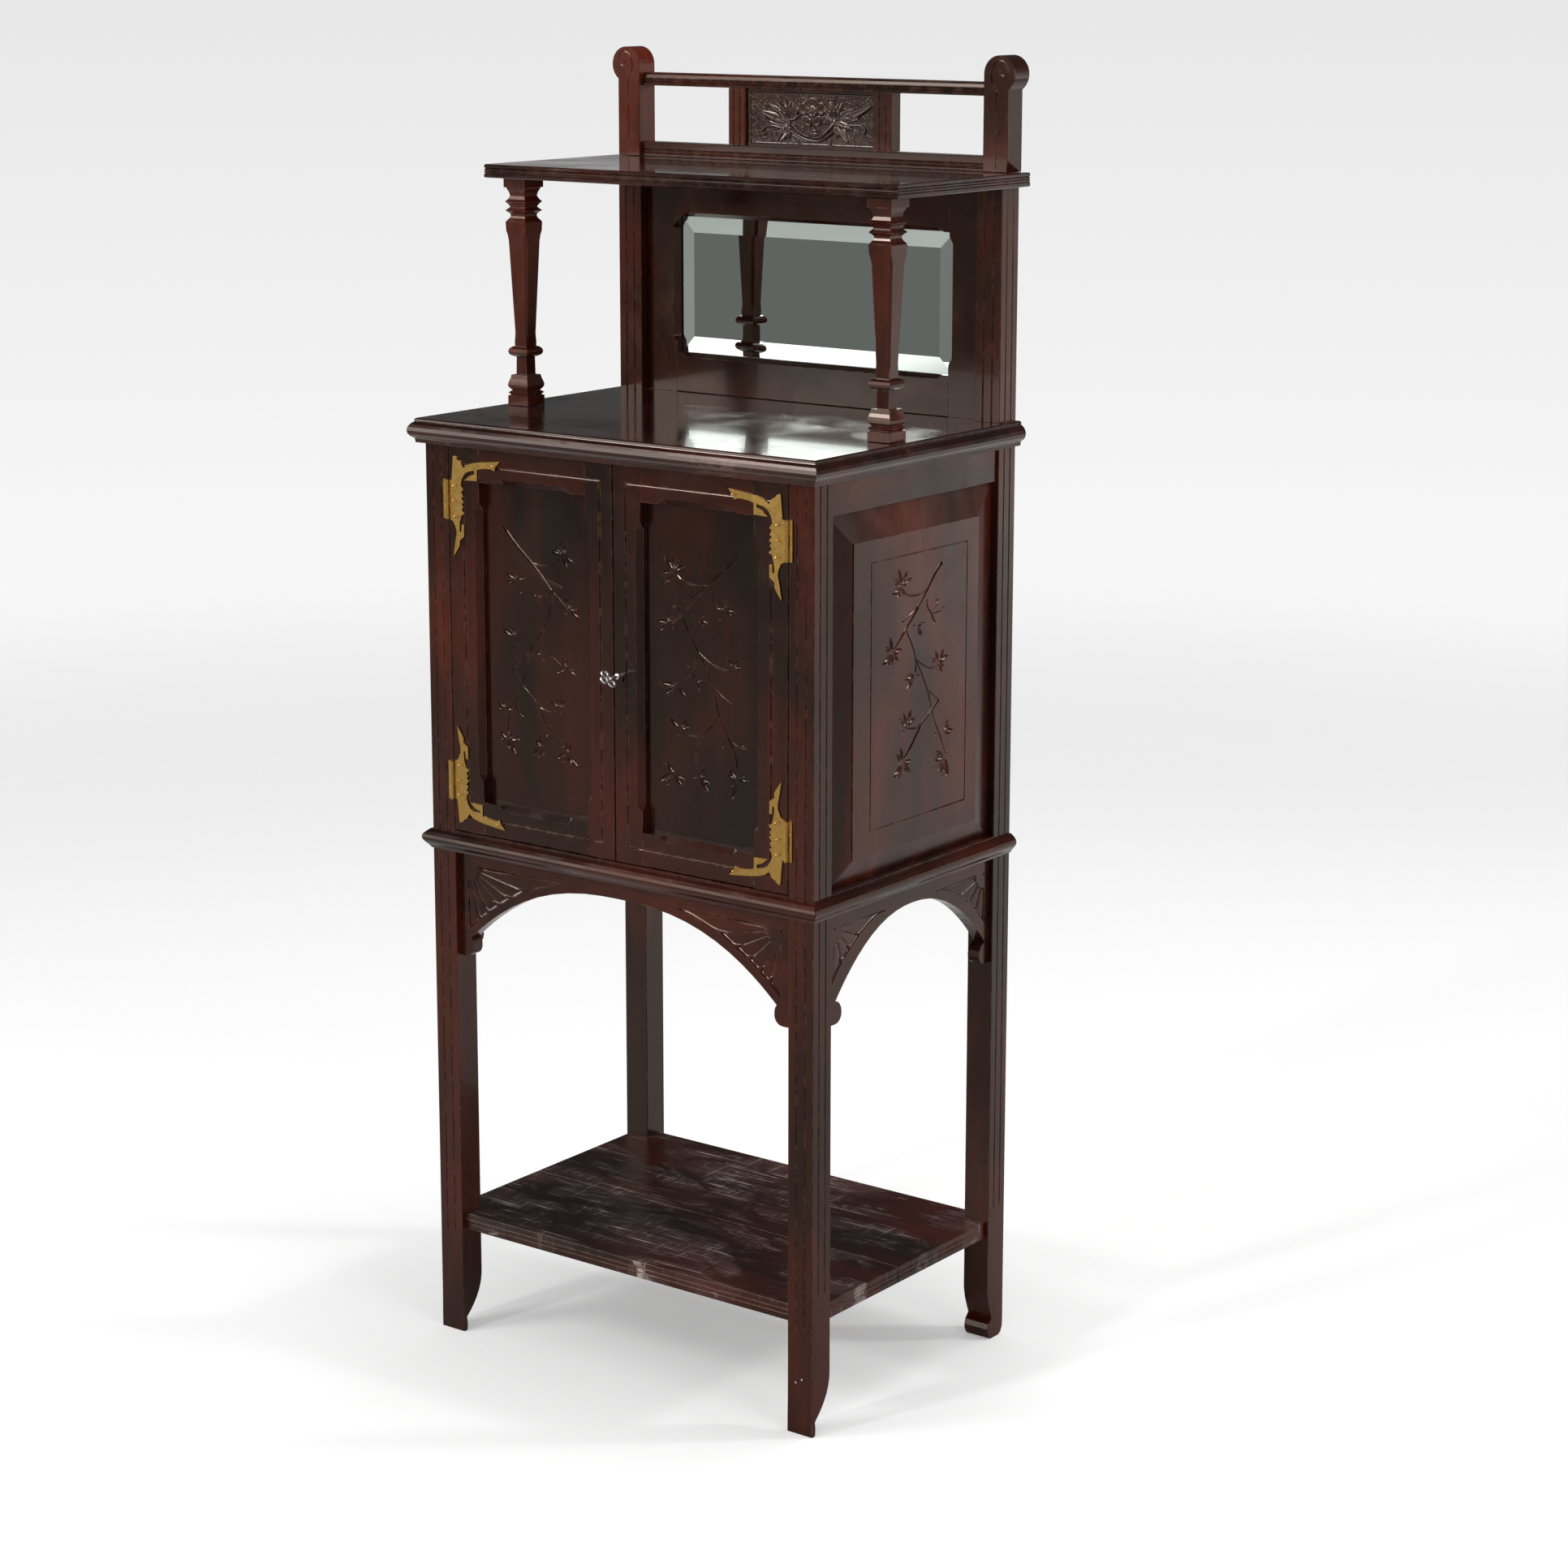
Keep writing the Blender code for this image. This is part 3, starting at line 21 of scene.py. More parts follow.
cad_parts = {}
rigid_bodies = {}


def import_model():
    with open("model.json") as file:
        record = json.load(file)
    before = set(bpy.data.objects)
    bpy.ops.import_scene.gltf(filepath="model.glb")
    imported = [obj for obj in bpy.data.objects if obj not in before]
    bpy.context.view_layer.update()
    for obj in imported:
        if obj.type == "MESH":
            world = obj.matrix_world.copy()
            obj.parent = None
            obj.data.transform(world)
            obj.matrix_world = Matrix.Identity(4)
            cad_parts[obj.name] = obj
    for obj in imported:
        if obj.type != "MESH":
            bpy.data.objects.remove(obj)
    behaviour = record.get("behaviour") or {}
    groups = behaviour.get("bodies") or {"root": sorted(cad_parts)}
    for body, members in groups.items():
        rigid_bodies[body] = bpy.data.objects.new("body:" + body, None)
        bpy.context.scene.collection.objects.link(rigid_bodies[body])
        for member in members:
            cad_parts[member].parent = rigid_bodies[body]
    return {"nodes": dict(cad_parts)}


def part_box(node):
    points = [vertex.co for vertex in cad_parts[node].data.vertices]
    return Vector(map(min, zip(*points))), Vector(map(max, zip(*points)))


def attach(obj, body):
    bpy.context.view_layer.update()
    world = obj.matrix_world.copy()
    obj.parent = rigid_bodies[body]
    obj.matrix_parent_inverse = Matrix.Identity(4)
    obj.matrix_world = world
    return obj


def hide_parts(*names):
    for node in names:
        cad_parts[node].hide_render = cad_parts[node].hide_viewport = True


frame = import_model()
LOG = logging.getLogger("cabinet")
MM = 0.001
AWAY = (-0.598, 0.801, 0.0)  # level direction in which the camera looks
LINE_SINK = 0.1  # millimetres from the surface to the middle of a fine line
LINE_SIDES = 8  # facets round a fine line
WIDTH_OVER_RADIUS = 1.9  # of a round cut whose middle lies a little inside the wood

Point = tuple[float, float]
Triple = tuple[float, float, float]
Colour = tuple[float, float, float, float]
Socket = bpy.types.NodeSocket


class Grain(Enum):
    """The axis that the wood's fibres follow."""

    ALONG_X = 0
    ALONG_Y = 1
    ALONG_Z = 2

    def stretch(self, along: float, across: float) -> Triple:
        """A factor for each axis: one along the fibres and another across them."""
        return tuple(along if axis == self.value else across for axis in range(3))


class Side(Enum):
    """Left or right of the cabinet, as seen from its front."""

    LEFT = -1.0
    RIGHT = 1.0

    @property
    def word(self) -> str:
        """The side's name inside node names."""
        return self.name.lower()


# Node trees


class NodeTree:
    """A node tree that is built up node by node."""

    def __init__(self, tree: bpy.types.NodeTree) -> None:
        """Takes a tree in hand.

        Args:
            tree: The tree.
        """
        self.tree = tree

    def feed(self, socket: Socket, value: object) -> None:
        """Sets an input to a constant, or links it when given an output.

        Args:
            socket: The input.
            value: A constant or an output.
        """
        if isinstance(value, Socket):
            self.tree.links.new(value, socket)
        else:
            socket.default_value = value

    def add(self, kind: str, inputs: dict | None = None, **settings: object) -> bpy.types.Node:
        """Adds a node and feeds its inputs.

        Args:
            kind: The node's type.
            inputs: Input name or number to a constant or an output.
            **settings: Properties of the node.

        Returns:
            The new node.
        """
        made = self.tree.nodes.new(kind)
        for key, value in settings.items():
            setattr(made, key, value)
        for key, value in (inputs or {}).items():
            self.feed(made.inputs[key], value)
        return made

    def math(self, kind: str, a: object, b: object) -> Socket:
        """One math operation on outputs or numbers."""
        return self.add("ShaderNodeMath", {0: a, 1: b}, operation=kind).outputs[0]

    def times(self, a: object, b: object) -> Socket:
        """The product of two outputs or numbers."""
        return self.math("MULTIPLY", a, b)

    def plus(self, a: object, b: object) -> Socket:
        """The sum of two outputs or numbers."""
        return self.math("ADD", a, b)

    def dot(self, a: object, b: object) -> Socket:
        """The dot product of two vectors."""
        return self.add("ShaderNodeVectorMath", {0: a, 1: b}, operation="DOT_PRODUCT").outputs["Value"]

    def ramp(
        self, value: Socket, low: float, high: float, start: object = 0.0, end: object = 1.0,
    ) -> Socket:
        """Maps low..high smoothly to start..end, and holds it there beyond them.

        Args:
            value: What is mapped.
            low: Where the change begins.
            high: Where it ends.
            start: Result up to low.
            end: Result from high on.

        Returns:
            The mapped value.
        """
        span = {"Value": value, "From Min": low, "From Max": high, "To Min": start, "To Max": end}
        return self.add("ShaderNodeMapRange", span, interpolation_type="SMOOTHSTEP").outputs["Result"]


class ShaderGraph(NodeTree):
    """A material's node tree, with a Principled shader at its end."""

    def __init__(self, name: str) -> None:
        """Starts the material.

        Args:
            name: The material's name.
        """
        self.material = bpy.data.materials.new(name)
        self.material.use_nodes = True
        super().__init__(self.material.node_tree)
        self.tree.nodes.clear()
        self.surface = self.add("ShaderNodeBsdfPrincipled")
        self.out = self.add("ShaderNodeOutputMaterial", {"Surface": self.surface.outputs[0]})
        self.coords = self.add("ShaderNodeTexCoord").outputs["Object"]

    def scaled(self, scale: Triple) -> Socket:
        """Object coordinates, stretched by a factor for each axis."""
        return self.add("ShaderNodeMapping", {"Vector": self.coords, "Scale": scale}).outputs[0]

    def noise(
        self, vector: Socket, scale: float, detail: float = 3.0, rough: float = 0.55, warp: float = 0.0,
    ) -> Socket:
        """Adds fractal noise.

        Args:
            vector: Where the noise is read.
            scale: Its frequency.
            detail: Octaves.
            rough: Strength of the finer octaves.
            warp: How far the noise distorts itself.

        Returns:
            The noise value.
        """
        return self.add("ShaderNodeTexNoise", {
            "Vector": vector, "Scale": scale, "Detail": detail, "Roughness": rough, "Distortion": warp,
        }).outputs["Fac"]

    def blend(self, share: object, a: object, b: object) -> Socket:
        """Mixes colour a towards colour b by a share."""
        return self.add("ShaderNodeMix", {0: share, 6: a, 7: b}, data_type="RGBA").outputs[2]

    def bump(self, height: Socket, depth: float, before: Socket | None = None) -> Socket:
        """Adds a bump of a real depth.

        Args:
            height: Height from 0 to 1.
            depth: Depth of the relief in metres.
            before: The normal that it builds on.

        Returns:
            The bumped normal.
        """
        node = self.add("ShaderNodeBump", {"Height": height, "Distance": depth})
        if before is not None:
            self.feed(node.inputs["Normal"], before)
        return node.outputs[0]

    def edges(self, width: float) -> Socket:
        """A mask that is 1 on arrises narrower than width and 0 on flats.

        Args:
            width: Width of the worn arris in metres.

        Returns:
            The mask.
        """
        rounded = self.add("ShaderNodeBevel", {"Radius": width}, samples=4).outputs[0]
        flat = self.add("ShaderNodeNewGeometry").outputs["Normal"]
        return self.ramp(self.math("SUBTRACT", 1.0, self.dot(rounded, flat)), 0.03, 0.22)

    def dress(self, inputs: dict[str, object]) -> bpy.types.Material:
        """Feeds the Principled shader.

        Args:
            inputs: Input name to a constant or an output.

        Returns:
            The material.
        """
        for key, value in inputs.items():
            self.feed(self.surface.inputs[key], value)
        return self.material


# Finishes


@dataclass(frozen=True)
class MahoganyFinish:
    """Old french-polished mahogany, near black in the body and red where it is rubbed. The paler colour on
    its arrises is partly real rubbing and partly a painted highlight.
    """

    name: str
    dark: Colour = (0.0125, 0.0036, 0.0022, 1.0)
    red: Colour = (0.092, 0.0130, 0.0055, 1.0)
    # Arris colour: partly real rubbing, partly a painted highlight that stands in for glints along the edges.
    rubbed: Colour = (0.19, 0.078, 0.045, 1.0)
    pore: Colour = (0.006, 0.002, 0.0015, 1.0)
    # Grey patch colour: partly real dustiness, partly a painted sheen that stands in for reflection on the
    # shelf top.
    dust: Colour = (0.17, 0.135, 0.135, 1.0)
    # Pale streak colour: partly real scratches, partly painted glints along them.
    scuff: Colour = (0.46, 0.36, 0.33, 1.0)
    sheen: Colour = (1.0, 0.76, 0.60, 1.0)
    # Width and share of the arris colour, which is partly real rubbing and partly a painted highlight.
    wear_width: float = 0.0016
    wear: float = 0.75
    roughness: float = 0.17
    ior: float = 1.44
    coat: float = 0.16
    coat_roughness: float = 0.05
    grain_depth: float = 0.00006
    ripple_depth: float = 0.00013
    scratches: float = 0.0
    scratch_depth: float = 0.00005

    def build(self, grain: Grain) -> bpy.types.Material:
        """Makes the material for boards whose fibres run one way.

        Args:
            grain: The fibres' direction.

        Returns:
            The material.
        """
        g = ShaderGraph(f"{self.name}_{grain.name.lower()}")
        fibre = g.scaled(grain.stretch(1.0, 14.0))
        figure = g.noise(fibre, scale=3.2, detail=5.0, rough=0.6, warp=0.5)
        strand = g.noise(fibre, scale=19.0, detail=4.0, rough=0.7)
        cloud = g.noise(g.scaled(grain.stretch(0.9, 2.4)), scale=3.1, detail=4.0, rough=0.55, warp=0.6)
        tone = g.plus(g.times(figure, 0.30), g.times(cloud, 0.80))
        body = g.blend(g.ramp(tone, 0.42, 0.84), self.dark, self.red)
        deepest = (*(0.45 * part for part in self.dark[:3]), 1.0)
        body = g.blend(g.times(g.ramp(strand, 0.50, 0.72), 0.32), body, deepest)
        pores = g.noise(g.scaled(grain.stretch(0.05, 1.0)), scale=1400.0, detail=1.0, rough=0.5)
        pores = g.ramp(pores, 0.60, 0.72)
        body = g.blend(g.times(pores, 0.4), body, self.pore)
        # Painted highlight: arrises take the paler arris colour, partly real rubbing and partly standing in
        # for glints.
        patch = g.ramp(g.noise(g.coords, scale=70.0, detail=4.0, rough=0.65), 0.42, 0.66)
        worn_and_glint = g.times(g.times(g.edges(self.wear_width), patch), self.wear)
        body = g.blend(worn_and_glint, body, self.rubbed)
        smear = g.ramp(g.noise(g.coords, scale=11.0, detail=4.0, rough=0.6, warp=0.8), 0.35, 0.75)
        gloss = g.plus(g.plus(self.roughness, g.times(smear, 0.14)), g.times(worn_and_glint, 0.22))
        normal = g.bump(g.plus(g.times(strand, 0.5), g.times(pores, -0.08)), self.grain_depth)
        ripple = g.noise(g.coords, scale=18.0, detail=2.0, rough=0.5)
        normal = g.bump(ripple, self.ripple_depth, normal)
        if self.scratches > 0.0:
            body, gloss, normal = self.scratch(g, body, gloss, normal)
        return g.dress({
            "Base Color": body, "Roughness": gloss, "Normal": normal, "IOR": self.ior,
            "Specular Tint": self.sheen, "Coat Weight": self.coat, "Coat Roughness": self.coat_roughness,
        })

    def scratch(self, g: ShaderGraph, body: Socket, gloss: Socket, normal: Socket) -> tuple[Socket, ...]:
        """Adds long scratches and grey rubbed patches, as on a shelf in use. The grey patches are partly
        dusty and partly a painted sheen; the pale scratches are partly painted glints.

        Args:
            g: The material's tree.
            body: Colour so far.
            gloss: Roughness so far.
            normal: Normal so far.

        Returns:
            The new colour, roughness and normal.
        """
        along, across = (
            g.ramp(g.noise(g.scaled(scale), scale=1.6, detail=4.0, rough=0.72, warp=0.6), 0.565, 0.655)
            for scale in ((6.0, 200.0, 9.0), (150.0, 12.0, 12.0))
        )
        lines = g.math("MAXIMUM", along, g.times(across, 0.4))
        patch = g.noise(g.scaled((4.0, 11.0, 7.0)), scale=1.5, detail=6.0, rough=0.66, warp=0.8)
        patch = g.ramp(patch, 0.44, 0.62)
        marks = g.times(g.times(lines, patch), self.scratches)
        # Painted sheen: grey patches, partly dusty and partly standing in for reflection.
        body = g.blend(g.times(patch, 0.12 * self.scratches), body, self.dust)
        # Painted glints: pale streaks, partly real scratches.
        body = g.blend(marks, body, self.scuff)
        gloss = g.plus(gloss, g.times(patch, 0.22 * self.scratches))
        return body, gloss, g.bump(marks, self.scratch_depth, normal)


@dataclass(frozen=True)
class BackingFinish:
    """Plain aged softwood of the back panel and the mirror's backing, with its growth rings."""

    pale: Colour = (0.26, 0.145, 0.072, 1.0)
    dark: Colour = (0.115, 0.056, 0.027, 1.0)
    roughness: float = 0.62
    ring_scale: Triple = (7.0, 7.0, 0.9)
    ring_bend: float = 60.0
    fibre_scale: Triple = (120.0, 120.0, 5.0)
    fibre_depth: float = 0.00015

    def build(self) -> bpy.types.Material:
        """Makes the material.

        Returns:
            The material.
        """
        g = ShaderGraph("aged_softwood")
        rings = g.add("ShaderNodeTexWave", {
            "Vector": g.scaled(self.ring_scale), "Scale": 1.0, "Distortion": self.ring_bend, "Detail": 1.0,
        }, wave_type="BANDS", bands_direction="X").outputs["Fac"]
        stain = g.ramp(g.noise(g.coords, scale=6.0, detail=4.0, rough=0.6, warp=0.5), 0.45, 0.7)
        body = g.blend(g.ramp(rings, 0.35, 1.0), self.pale, self.dark)
        body = g.blend(g.times(stain, 0.6), body, self.dark)
        fibre = g.noise(g.scaled(self.fibre_scale), scale=3.0, detail=3.0, rough=0.7)
        return g.dress({
            "Base Color": body, "Roughness": g.plus(self.roughness, g.times(fibre, 0.25)),
            "Normal": g.bump(fibre, self.fibre_depth),
        })


@dataclass(frozen=True)
class MetalFinish:
    """Aged metal: a clean and a dull colour, fine scratches and rubbed arrises."""

    name: str
    clean: Colour
    dull: Colour
    roughness: float
    dull_share: float = 0.8
    wear_width: float = 0.0006
    scratch_scale: Triple = (60.0, 60.0, 900.0)
    scratch_depth: float = 0.00002
    cast_depth: float = 0.00007

    def build(self) -> bpy.types.Material:
        """Makes the material.

        Returns:
            The material.
        """
        g = ShaderGraph(self.name)
        cloud = g.ramp(g.noise(g.coords, scale=95.0, detail=5.0, rough=0.62, warp=0.4), 0.40, 0.66)
        spots = g.ramp(g.noise(g.coords, scale=900.0, detail=3.0, rough=0.6), 0.60, 0.74)
        tarnish = g.times(g.math("MAXIMUM", cloud, spots), self.dull_share)
        body = g.blend(tarnish, self.clean, self.dull)
        body = g.blend(g.times(g.edges(self.wear_width), 0.8), body, self.clean)
        fine = g.noise(g.scaled(self.scratch_scale), scale=1.0, detail=2.0, rough=0.6)
        normal = g.bump(fine, self.scratch_depth)
        normal = g.bump(g.noise(g.coords, scale=240.0, detail=2.0, rough=0.5), self.cast_depth, normal)
        return g.dress({
            "Base Color": body, "Roughness": g.plus(self.roughness, g.times(tarnish, 0.20)),
            "Normal": normal, "Metallic": 1.0,
        })


@dataclass(frozen=True)
class MirrorFinish:
    """Old silvered plate, faintly green, with a few grey foxing specks in patches.

    The silver is behind the glass, so the ground bevel bends what it shows inwards, as a thin prism.
    """

    silver: Colour = (0.77, 0.84, 0.795, 1.0)
    fox: Colour = (0.30, 0.28, 0.25, 1.0)
    bend: float = 1.15
    roughness: float = 0.015
    wave_depth: float = 0.00004

    def build(self) -> bpy.types.Material:
        """Makes the material.

        Returns:
            The material.
        """
        g = ShaderGraph("silvered_glass")
        specks = g.ramp(g.noise(g.coords, scale=210.0, detail=4.0, rough=0.6), 0.66, 0.74)
        zones = g.ramp(g.noise(g.coords, scale=12.0, detail=3.0, rough=0.6), 0.5, 0.7)
        share = g.times(g.times(specks, zones), 0.5)
        ground = g.add("ShaderNodeNewGeometry").outputs["Normal"]
        turned = g.add("ShaderNodeVectorMath", {
            0: ground, 1: (-self.bend, 1.0, -self.bend),
        }, operation="MULTIPLY")
        even = g.add("ShaderNodeVectorMath", {0: turned.outputs[0]}, operation="NORMALIZE").outputs[0]
        wave = g.bump(g.noise(g.coords, scale=7.0, detail=1.0, rough=0.4), self.wave_depth, even)
        return g.dress({
            "Base Color": g.blend(share, self.silver, self.fox), "Normal": wave, "Metallic": 1.0,
            "Roughness": g.plus(self.roughness, g.times(share, 0.4)),
        })


# Each finish's arris colour is partly real rubbing and partly a painted highlight along the edges.
POLISHED = MahoganyFinish("polished_mahogany")
RUBBED = MahoganyFinish("rubbed_mahogany", rubbed=(0.25, 0.12, 0.08, 1.0), wear=0.8, wear_width=0.0018)
PANEL = MahoganyFinish(
    "darkened_mahogany", dark=(0.0072, 0.0034, 0.0021, 1.0), red=(0.042, 0.0072, 0.0034, 1.0),
    roughness=0.13,
)
FRAME = MahoganyFinish(
    "door_frame_mahogany", dark=(0.0090, 0.0034, 0.0022, 1.0), red=(0.062, 0.0085, 0.0038, 1.0),
    rubbed=(0.25, 0.12, 0.08, 1.0), wear=0.8, wear_width=0.0018,
)
LIVELY = MahoganyFinish(
    "red_mahogany", dark=(0.022, 0.0052, 0.0030, 1.0), red=(0.135, 0.018, 0.0075, 1.0),
    rubbed=(0.26, 0.12, 0.08, 1.0), wear=0.85, wear_width=0.0018,
)
# Its grey patches are partly a painted sheen and its pale streaks partly painted glints.
SHELF_TOP = MahoganyFinish(
    "worn_shelf_mahogany", dark=(0.0085, 0.0030, 0.0022, 1.0), red=(0.070, 0.0105, 0.0055, 1.0),
    wear=0.6, wear_width=0.0010, roughness=0.24, coat=0.12, scratches=1.0,
)
# Its pale arris colour is partly real rubbing and partly a painted highlight along the board's edges.
BOARD = MahoganyFinish(
    "board_mahogany", dark=(0.0085, 0.0032, 0.0022, 1.0), red=(0.060, 0.0095, 0.0045, 1.0),
    rubbed=(0.40, 0.26, 0.21, 1.0), wear=0.5, wear_width=0.0006, roughness=0.11, coat=0.45, scratches=0.10,
)
RELIEF = MahoganyFinish("relief_mahogany", wear=0.16, wear_width=0.0008, roughness=0.16, coat=0.4)
BRASS = MetalFinish("aged_brass", (0.68, 0.41, 0.115, 1.0), (0.38, 0.205, 0.050, 1.0), 0.25, 0.6)
STEEL = MetalFinish("old_steel", (0.97, 0.96, 0.94, 1.0), (0.62, 0.60, 0.56, 1.0), 0.33, 0.35)
NAIL = MetalFinish("dull_nail", (0.40, 0.38, 0.36, 1.0), (0.16, 0.14, 0.12, 1.0), 0.42)


class Finishes:
    """All the materials, each made once."""

    def __init__(self) -> None:
        """Builds every material."""
        self.polished = POLISHED.build(Grain.ALONG_Z)
        self.rubbed = {grain: RUBBED.build(grain) for grain in Grain}
        self.frame = {grain: FRAME.build(grain) for grain in (Grain.ALONG_X, Grain.ALONG_Z)}
        self.panel = PANEL.build(Grain.ALONG_Z)
        self.lively = LIVELY.build(Grain.ALONG_Z)
        self.shelf = SHELF_TOP.build(Grain.ALONG_X)
        self.board = BOARD.build(Grain.ALONG_X)
        self.relief = RELIEF.build(Grain.ALONG_X)
        self.backing = BackingFinish().build()
        self.brass = BRASS.build()
        self.steel = STEEL.build()
        self.nail = NAIL.build()
        self.mirror = MirrorFinish().build()


# Mesh tools


def new_object(name: str, mesh: bpy.types.Mesh) -> bpy.types.Object:
    """Links a mesh to the scene as an object at the origin.

    Args:
        name: The object's name.
        mesh: Its mesh.

    Returns:
        The object.
    """
    made = bpy.data.objects.new(name, mesh)
    bpy.context.scene.collection.objects.link(made)
    return made


def mesh_from(name: str, verts: list, edges: list, faces: list) -> bpy.types.Mesh:
    """Makes a mesh from points, edges and faces.

    Args:
        name: The mesh's name.
        verts: Its points.
        edges: Pairs of point numbers, for edges that no face has.
        faces: Point numbers of each face.

    Returns:
        The mesh.
    """
    mesh = bpy.data.meshes.new(name)
    mesh.from_pydata([tuple(v) for v in verts], edges, faces)
    mesh.update()
    return mesh


def face_outward(mesh: bpy.types.Mesh) -> bpy.types.Mesh:
    """Turns every face of a closed mesh outward.

    Args:
        mesh: The mesh, which is changed.

    Returns:
        The same mesh.
    """
    tidy = bmesh.new()
    tidy.from_mesh(mesh)
    bmesh.ops.recalc_face_normals(tidy, faces=tidy.faces)
    tidy.to_mesh(mesh)
    tidy.free()
    return mesh


def drop(made: bpy.types.Object) -> None:
    """Removes a helper object, and its mesh if nothing else uses it.

    Args:
        made: The object.
    """
    mesh = made.data
    bpy.data.objects.remove(made)
    if mesh.users == 0:
        bpy.data.meshes.remove(mesh)


def shown_mesh(made: bpy.types.Object) -> bpy.types.Mesh:
    """Gives an object as a plain mesh, with its modifiers applied.

    Args:
        made: The object, which stays as it is.

    Returns:
        The plain mesh.
    """
    bpy.context.view_layer.update()
    graph = bpy.context.evaluated_depsgraph_get()
    return bpy.data.meshes.new_from_object(made.evaluated_get(graph))


def soften(mesh: bpy.types.Mesh, crease: float) -> None:
    """Shades a mesh smooth, with edges sharper than a crease angle in degrees kept crisp."""
    mesh.shade_smooth()
    mesh.set_sharp_from_angle(angle=math.radians(crease))


class GeometryTree(NodeTree):
    """A Geometry Nodes tree with named inputs."""

    def __init__(self, name: str, inputs: dict[str, tuple[str, object]]) -> None:
        """Starts the tree.

        Args:
            name: The tree's name.
            inputs: Socket type and default for each named input after the geometry.
        """
        super().__init__(bpy.data.node_groups.new(name, "GeometryNodeTree"))
        face = self.tree.interface
        face.new_socket("Geometry", in_out="INPUT", socket_type="NodeSocketGeometry")
        self.ids: dict[str, str] = {}
        for word, (kind, value) in inputs.items():
            socket = face.new_socket(word, in_out="INPUT", socket_type=kind)
            if value is not None:
                socket.default_value = value
            self.ids[word] = socket.identifier
        face.new_socket("Geometry", in_out="OUTPUT", socket_type="NodeSocketGeometry")
        self.inside = self.add("NodeGroupInput")
        self.outside = self.add("NodeGroupOutput")

    def given(self, word: str) -> Socket:
        """The output of a named input."""
        return self.inside.outputs[word]

    def attribute(self, word: str, kind: str) -> Socket:
        """The value of a named attribute of a given data type."""
        node = self.add("GeometryNodeInputNamedAttribute", {"Name": word}, data_type=kind)
        return next(socket for socket in node.outputs if socket.enabled)

    def finish(self, geometry: Socket) -> None:
        """Ends the tree: instances are made real and take the finish.

        Args:
            geometry: What the tree has made.
        """
        real = self.add("GeometryNodeRealizeInstances", {"Geometry": geometry})
        paint = self.add("GeometryNodeSetMaterial", {
            "Geometry": real.outputs[0], "Material": self.given("Finish"),
        })
        self.feed(self.outside.inputs[0], paint.outputs[0])

    def run(self, source: bpy.types.Object, name: str, **values: object) -> bpy.types.Mesh:
        """Runs the tree on an object and gives the result as a plain mesh.

        Args:
            source: The object that carries the input geometry. It is removed.
            name: Name of the new mesh.
            **values: Value for each named input, with spaces written as underscores.

        Returns:
            The plain mesh.
        """
        modifier = source.modifiers.new("tree", "NODES")
        modifier.node_group = self.tree
        for word, value in values.items():
            modifier[self.ids[word.replace("_", " ")]] = value
        mesh = shown_mesh(source)
        mesh.name = name
        source.modifiers.remove(modifier)
        drop(source)
        return mesh


def stroke_tree() -> GeometryTree:
    """Builds the tree for round strokes along paths, as thick as each point's own "thick" says.

    Returns:
        The tree.
    """
    made = GeometryTree("strokes", {
        "Finish": ("NodeSocketMaterial", None),
        "Sides": ("NodeSocketInt", LINE_SIDES),
        "Thickness": ("NodeSocketFloat", 1.0),
    })
    line = made.add("GeometryNodeMeshToCurve", {"Mesh": made.given("Geometry")})
    ring = made.add("GeometryNodeCurvePrimitiveCircle", {"Resolution": made.given("Sides"), "Radius": 1.0})
    tube = made.add("GeometryNodeCurveToMesh", {
        "Curve": line.outputs[0], "Profile Curve": ring.outputs[0], "Fill Caps": True,
        "Scale": made.times(made.attribute("thick", "FLOAT"), made.given("Thickness")),
    })
    made.finish(tube.outputs[0])
    return made


def scatter_tree() -> GeometryTree:
    """Builds the tree for a pattern at every point, turned and sized by the point's "turn" and "size".

    Returns:
        The tree.
    """
    made = GeometryTree("scattered_pattern", {
        "Finish": ("NodeSocketMaterial", None),
        "Pattern": ("NodeSocketObject", None),
        "Size": ("NodeSocketFloat", 1.0),
    })
    pattern = made.add("GeometryNodeObjectInfo", {"Object": made.given("Pattern"), "As Instance": True})
    grown = made.add("ShaderNodeVectorMath", {
        0: made.attribute("size", "FLOAT_VECTOR"), "Scale": made.given("Size"),
    }, operation="SCALE")
    turn = made.add("FunctionNodeEulerToRotation", {0: made.attribute("turn", "FLOAT_VECTOR")})
    points = made.add("GeometryNodeInstanceOnPoints", {
        "Points": made.given("Geometry"), "Instance": pattern.outputs["Geometry"],
        "Rotation": turn.outputs[0], "Scale": grown.outputs[0],
    })
    made.finish(points.outputs[0])
    return made


def stipple_tree() -> GeometryTree:
    """Builds the tree for a punched ground: pits where "ground" is 1, from a seeded cell pattern.

    Returns:
        The tree.
    """
    made = GeometryTree("punched_ground", {
        "Finish": ("NodeSocketMaterial", None),
        "Depth": ("NodeSocketFloat", 0.0005),
        "Pits per metre": ("NodeSocketFloat", 820.0),
        "Seed": ("NodeSocketFloat", 3.0),
    })
    cells = made.add("ShaderNodeTexVoronoi", {
        "W": made.given("Seed"), "Scale": made.given("Pits per metre"),
    }, voronoi_dimensions="4D", feature="F1")
    pit = made.times(made.ramp(cells.outputs["Distance"], 0.10, 0.48, 1.0, 0.0), made.given("Depth"))
    deep = made.times(pit, made.attribute("ground", "FLOAT"))
    into = made.add("ShaderNodeCombineXYZ", {"Y": deep})
    moved = made.add("GeometryNodeSetPosition", {
        "Geometry": made.given("Geometry"), "Offset": into.outputs[0],
    })
    made.finish(moved.outputs[0])
    return made


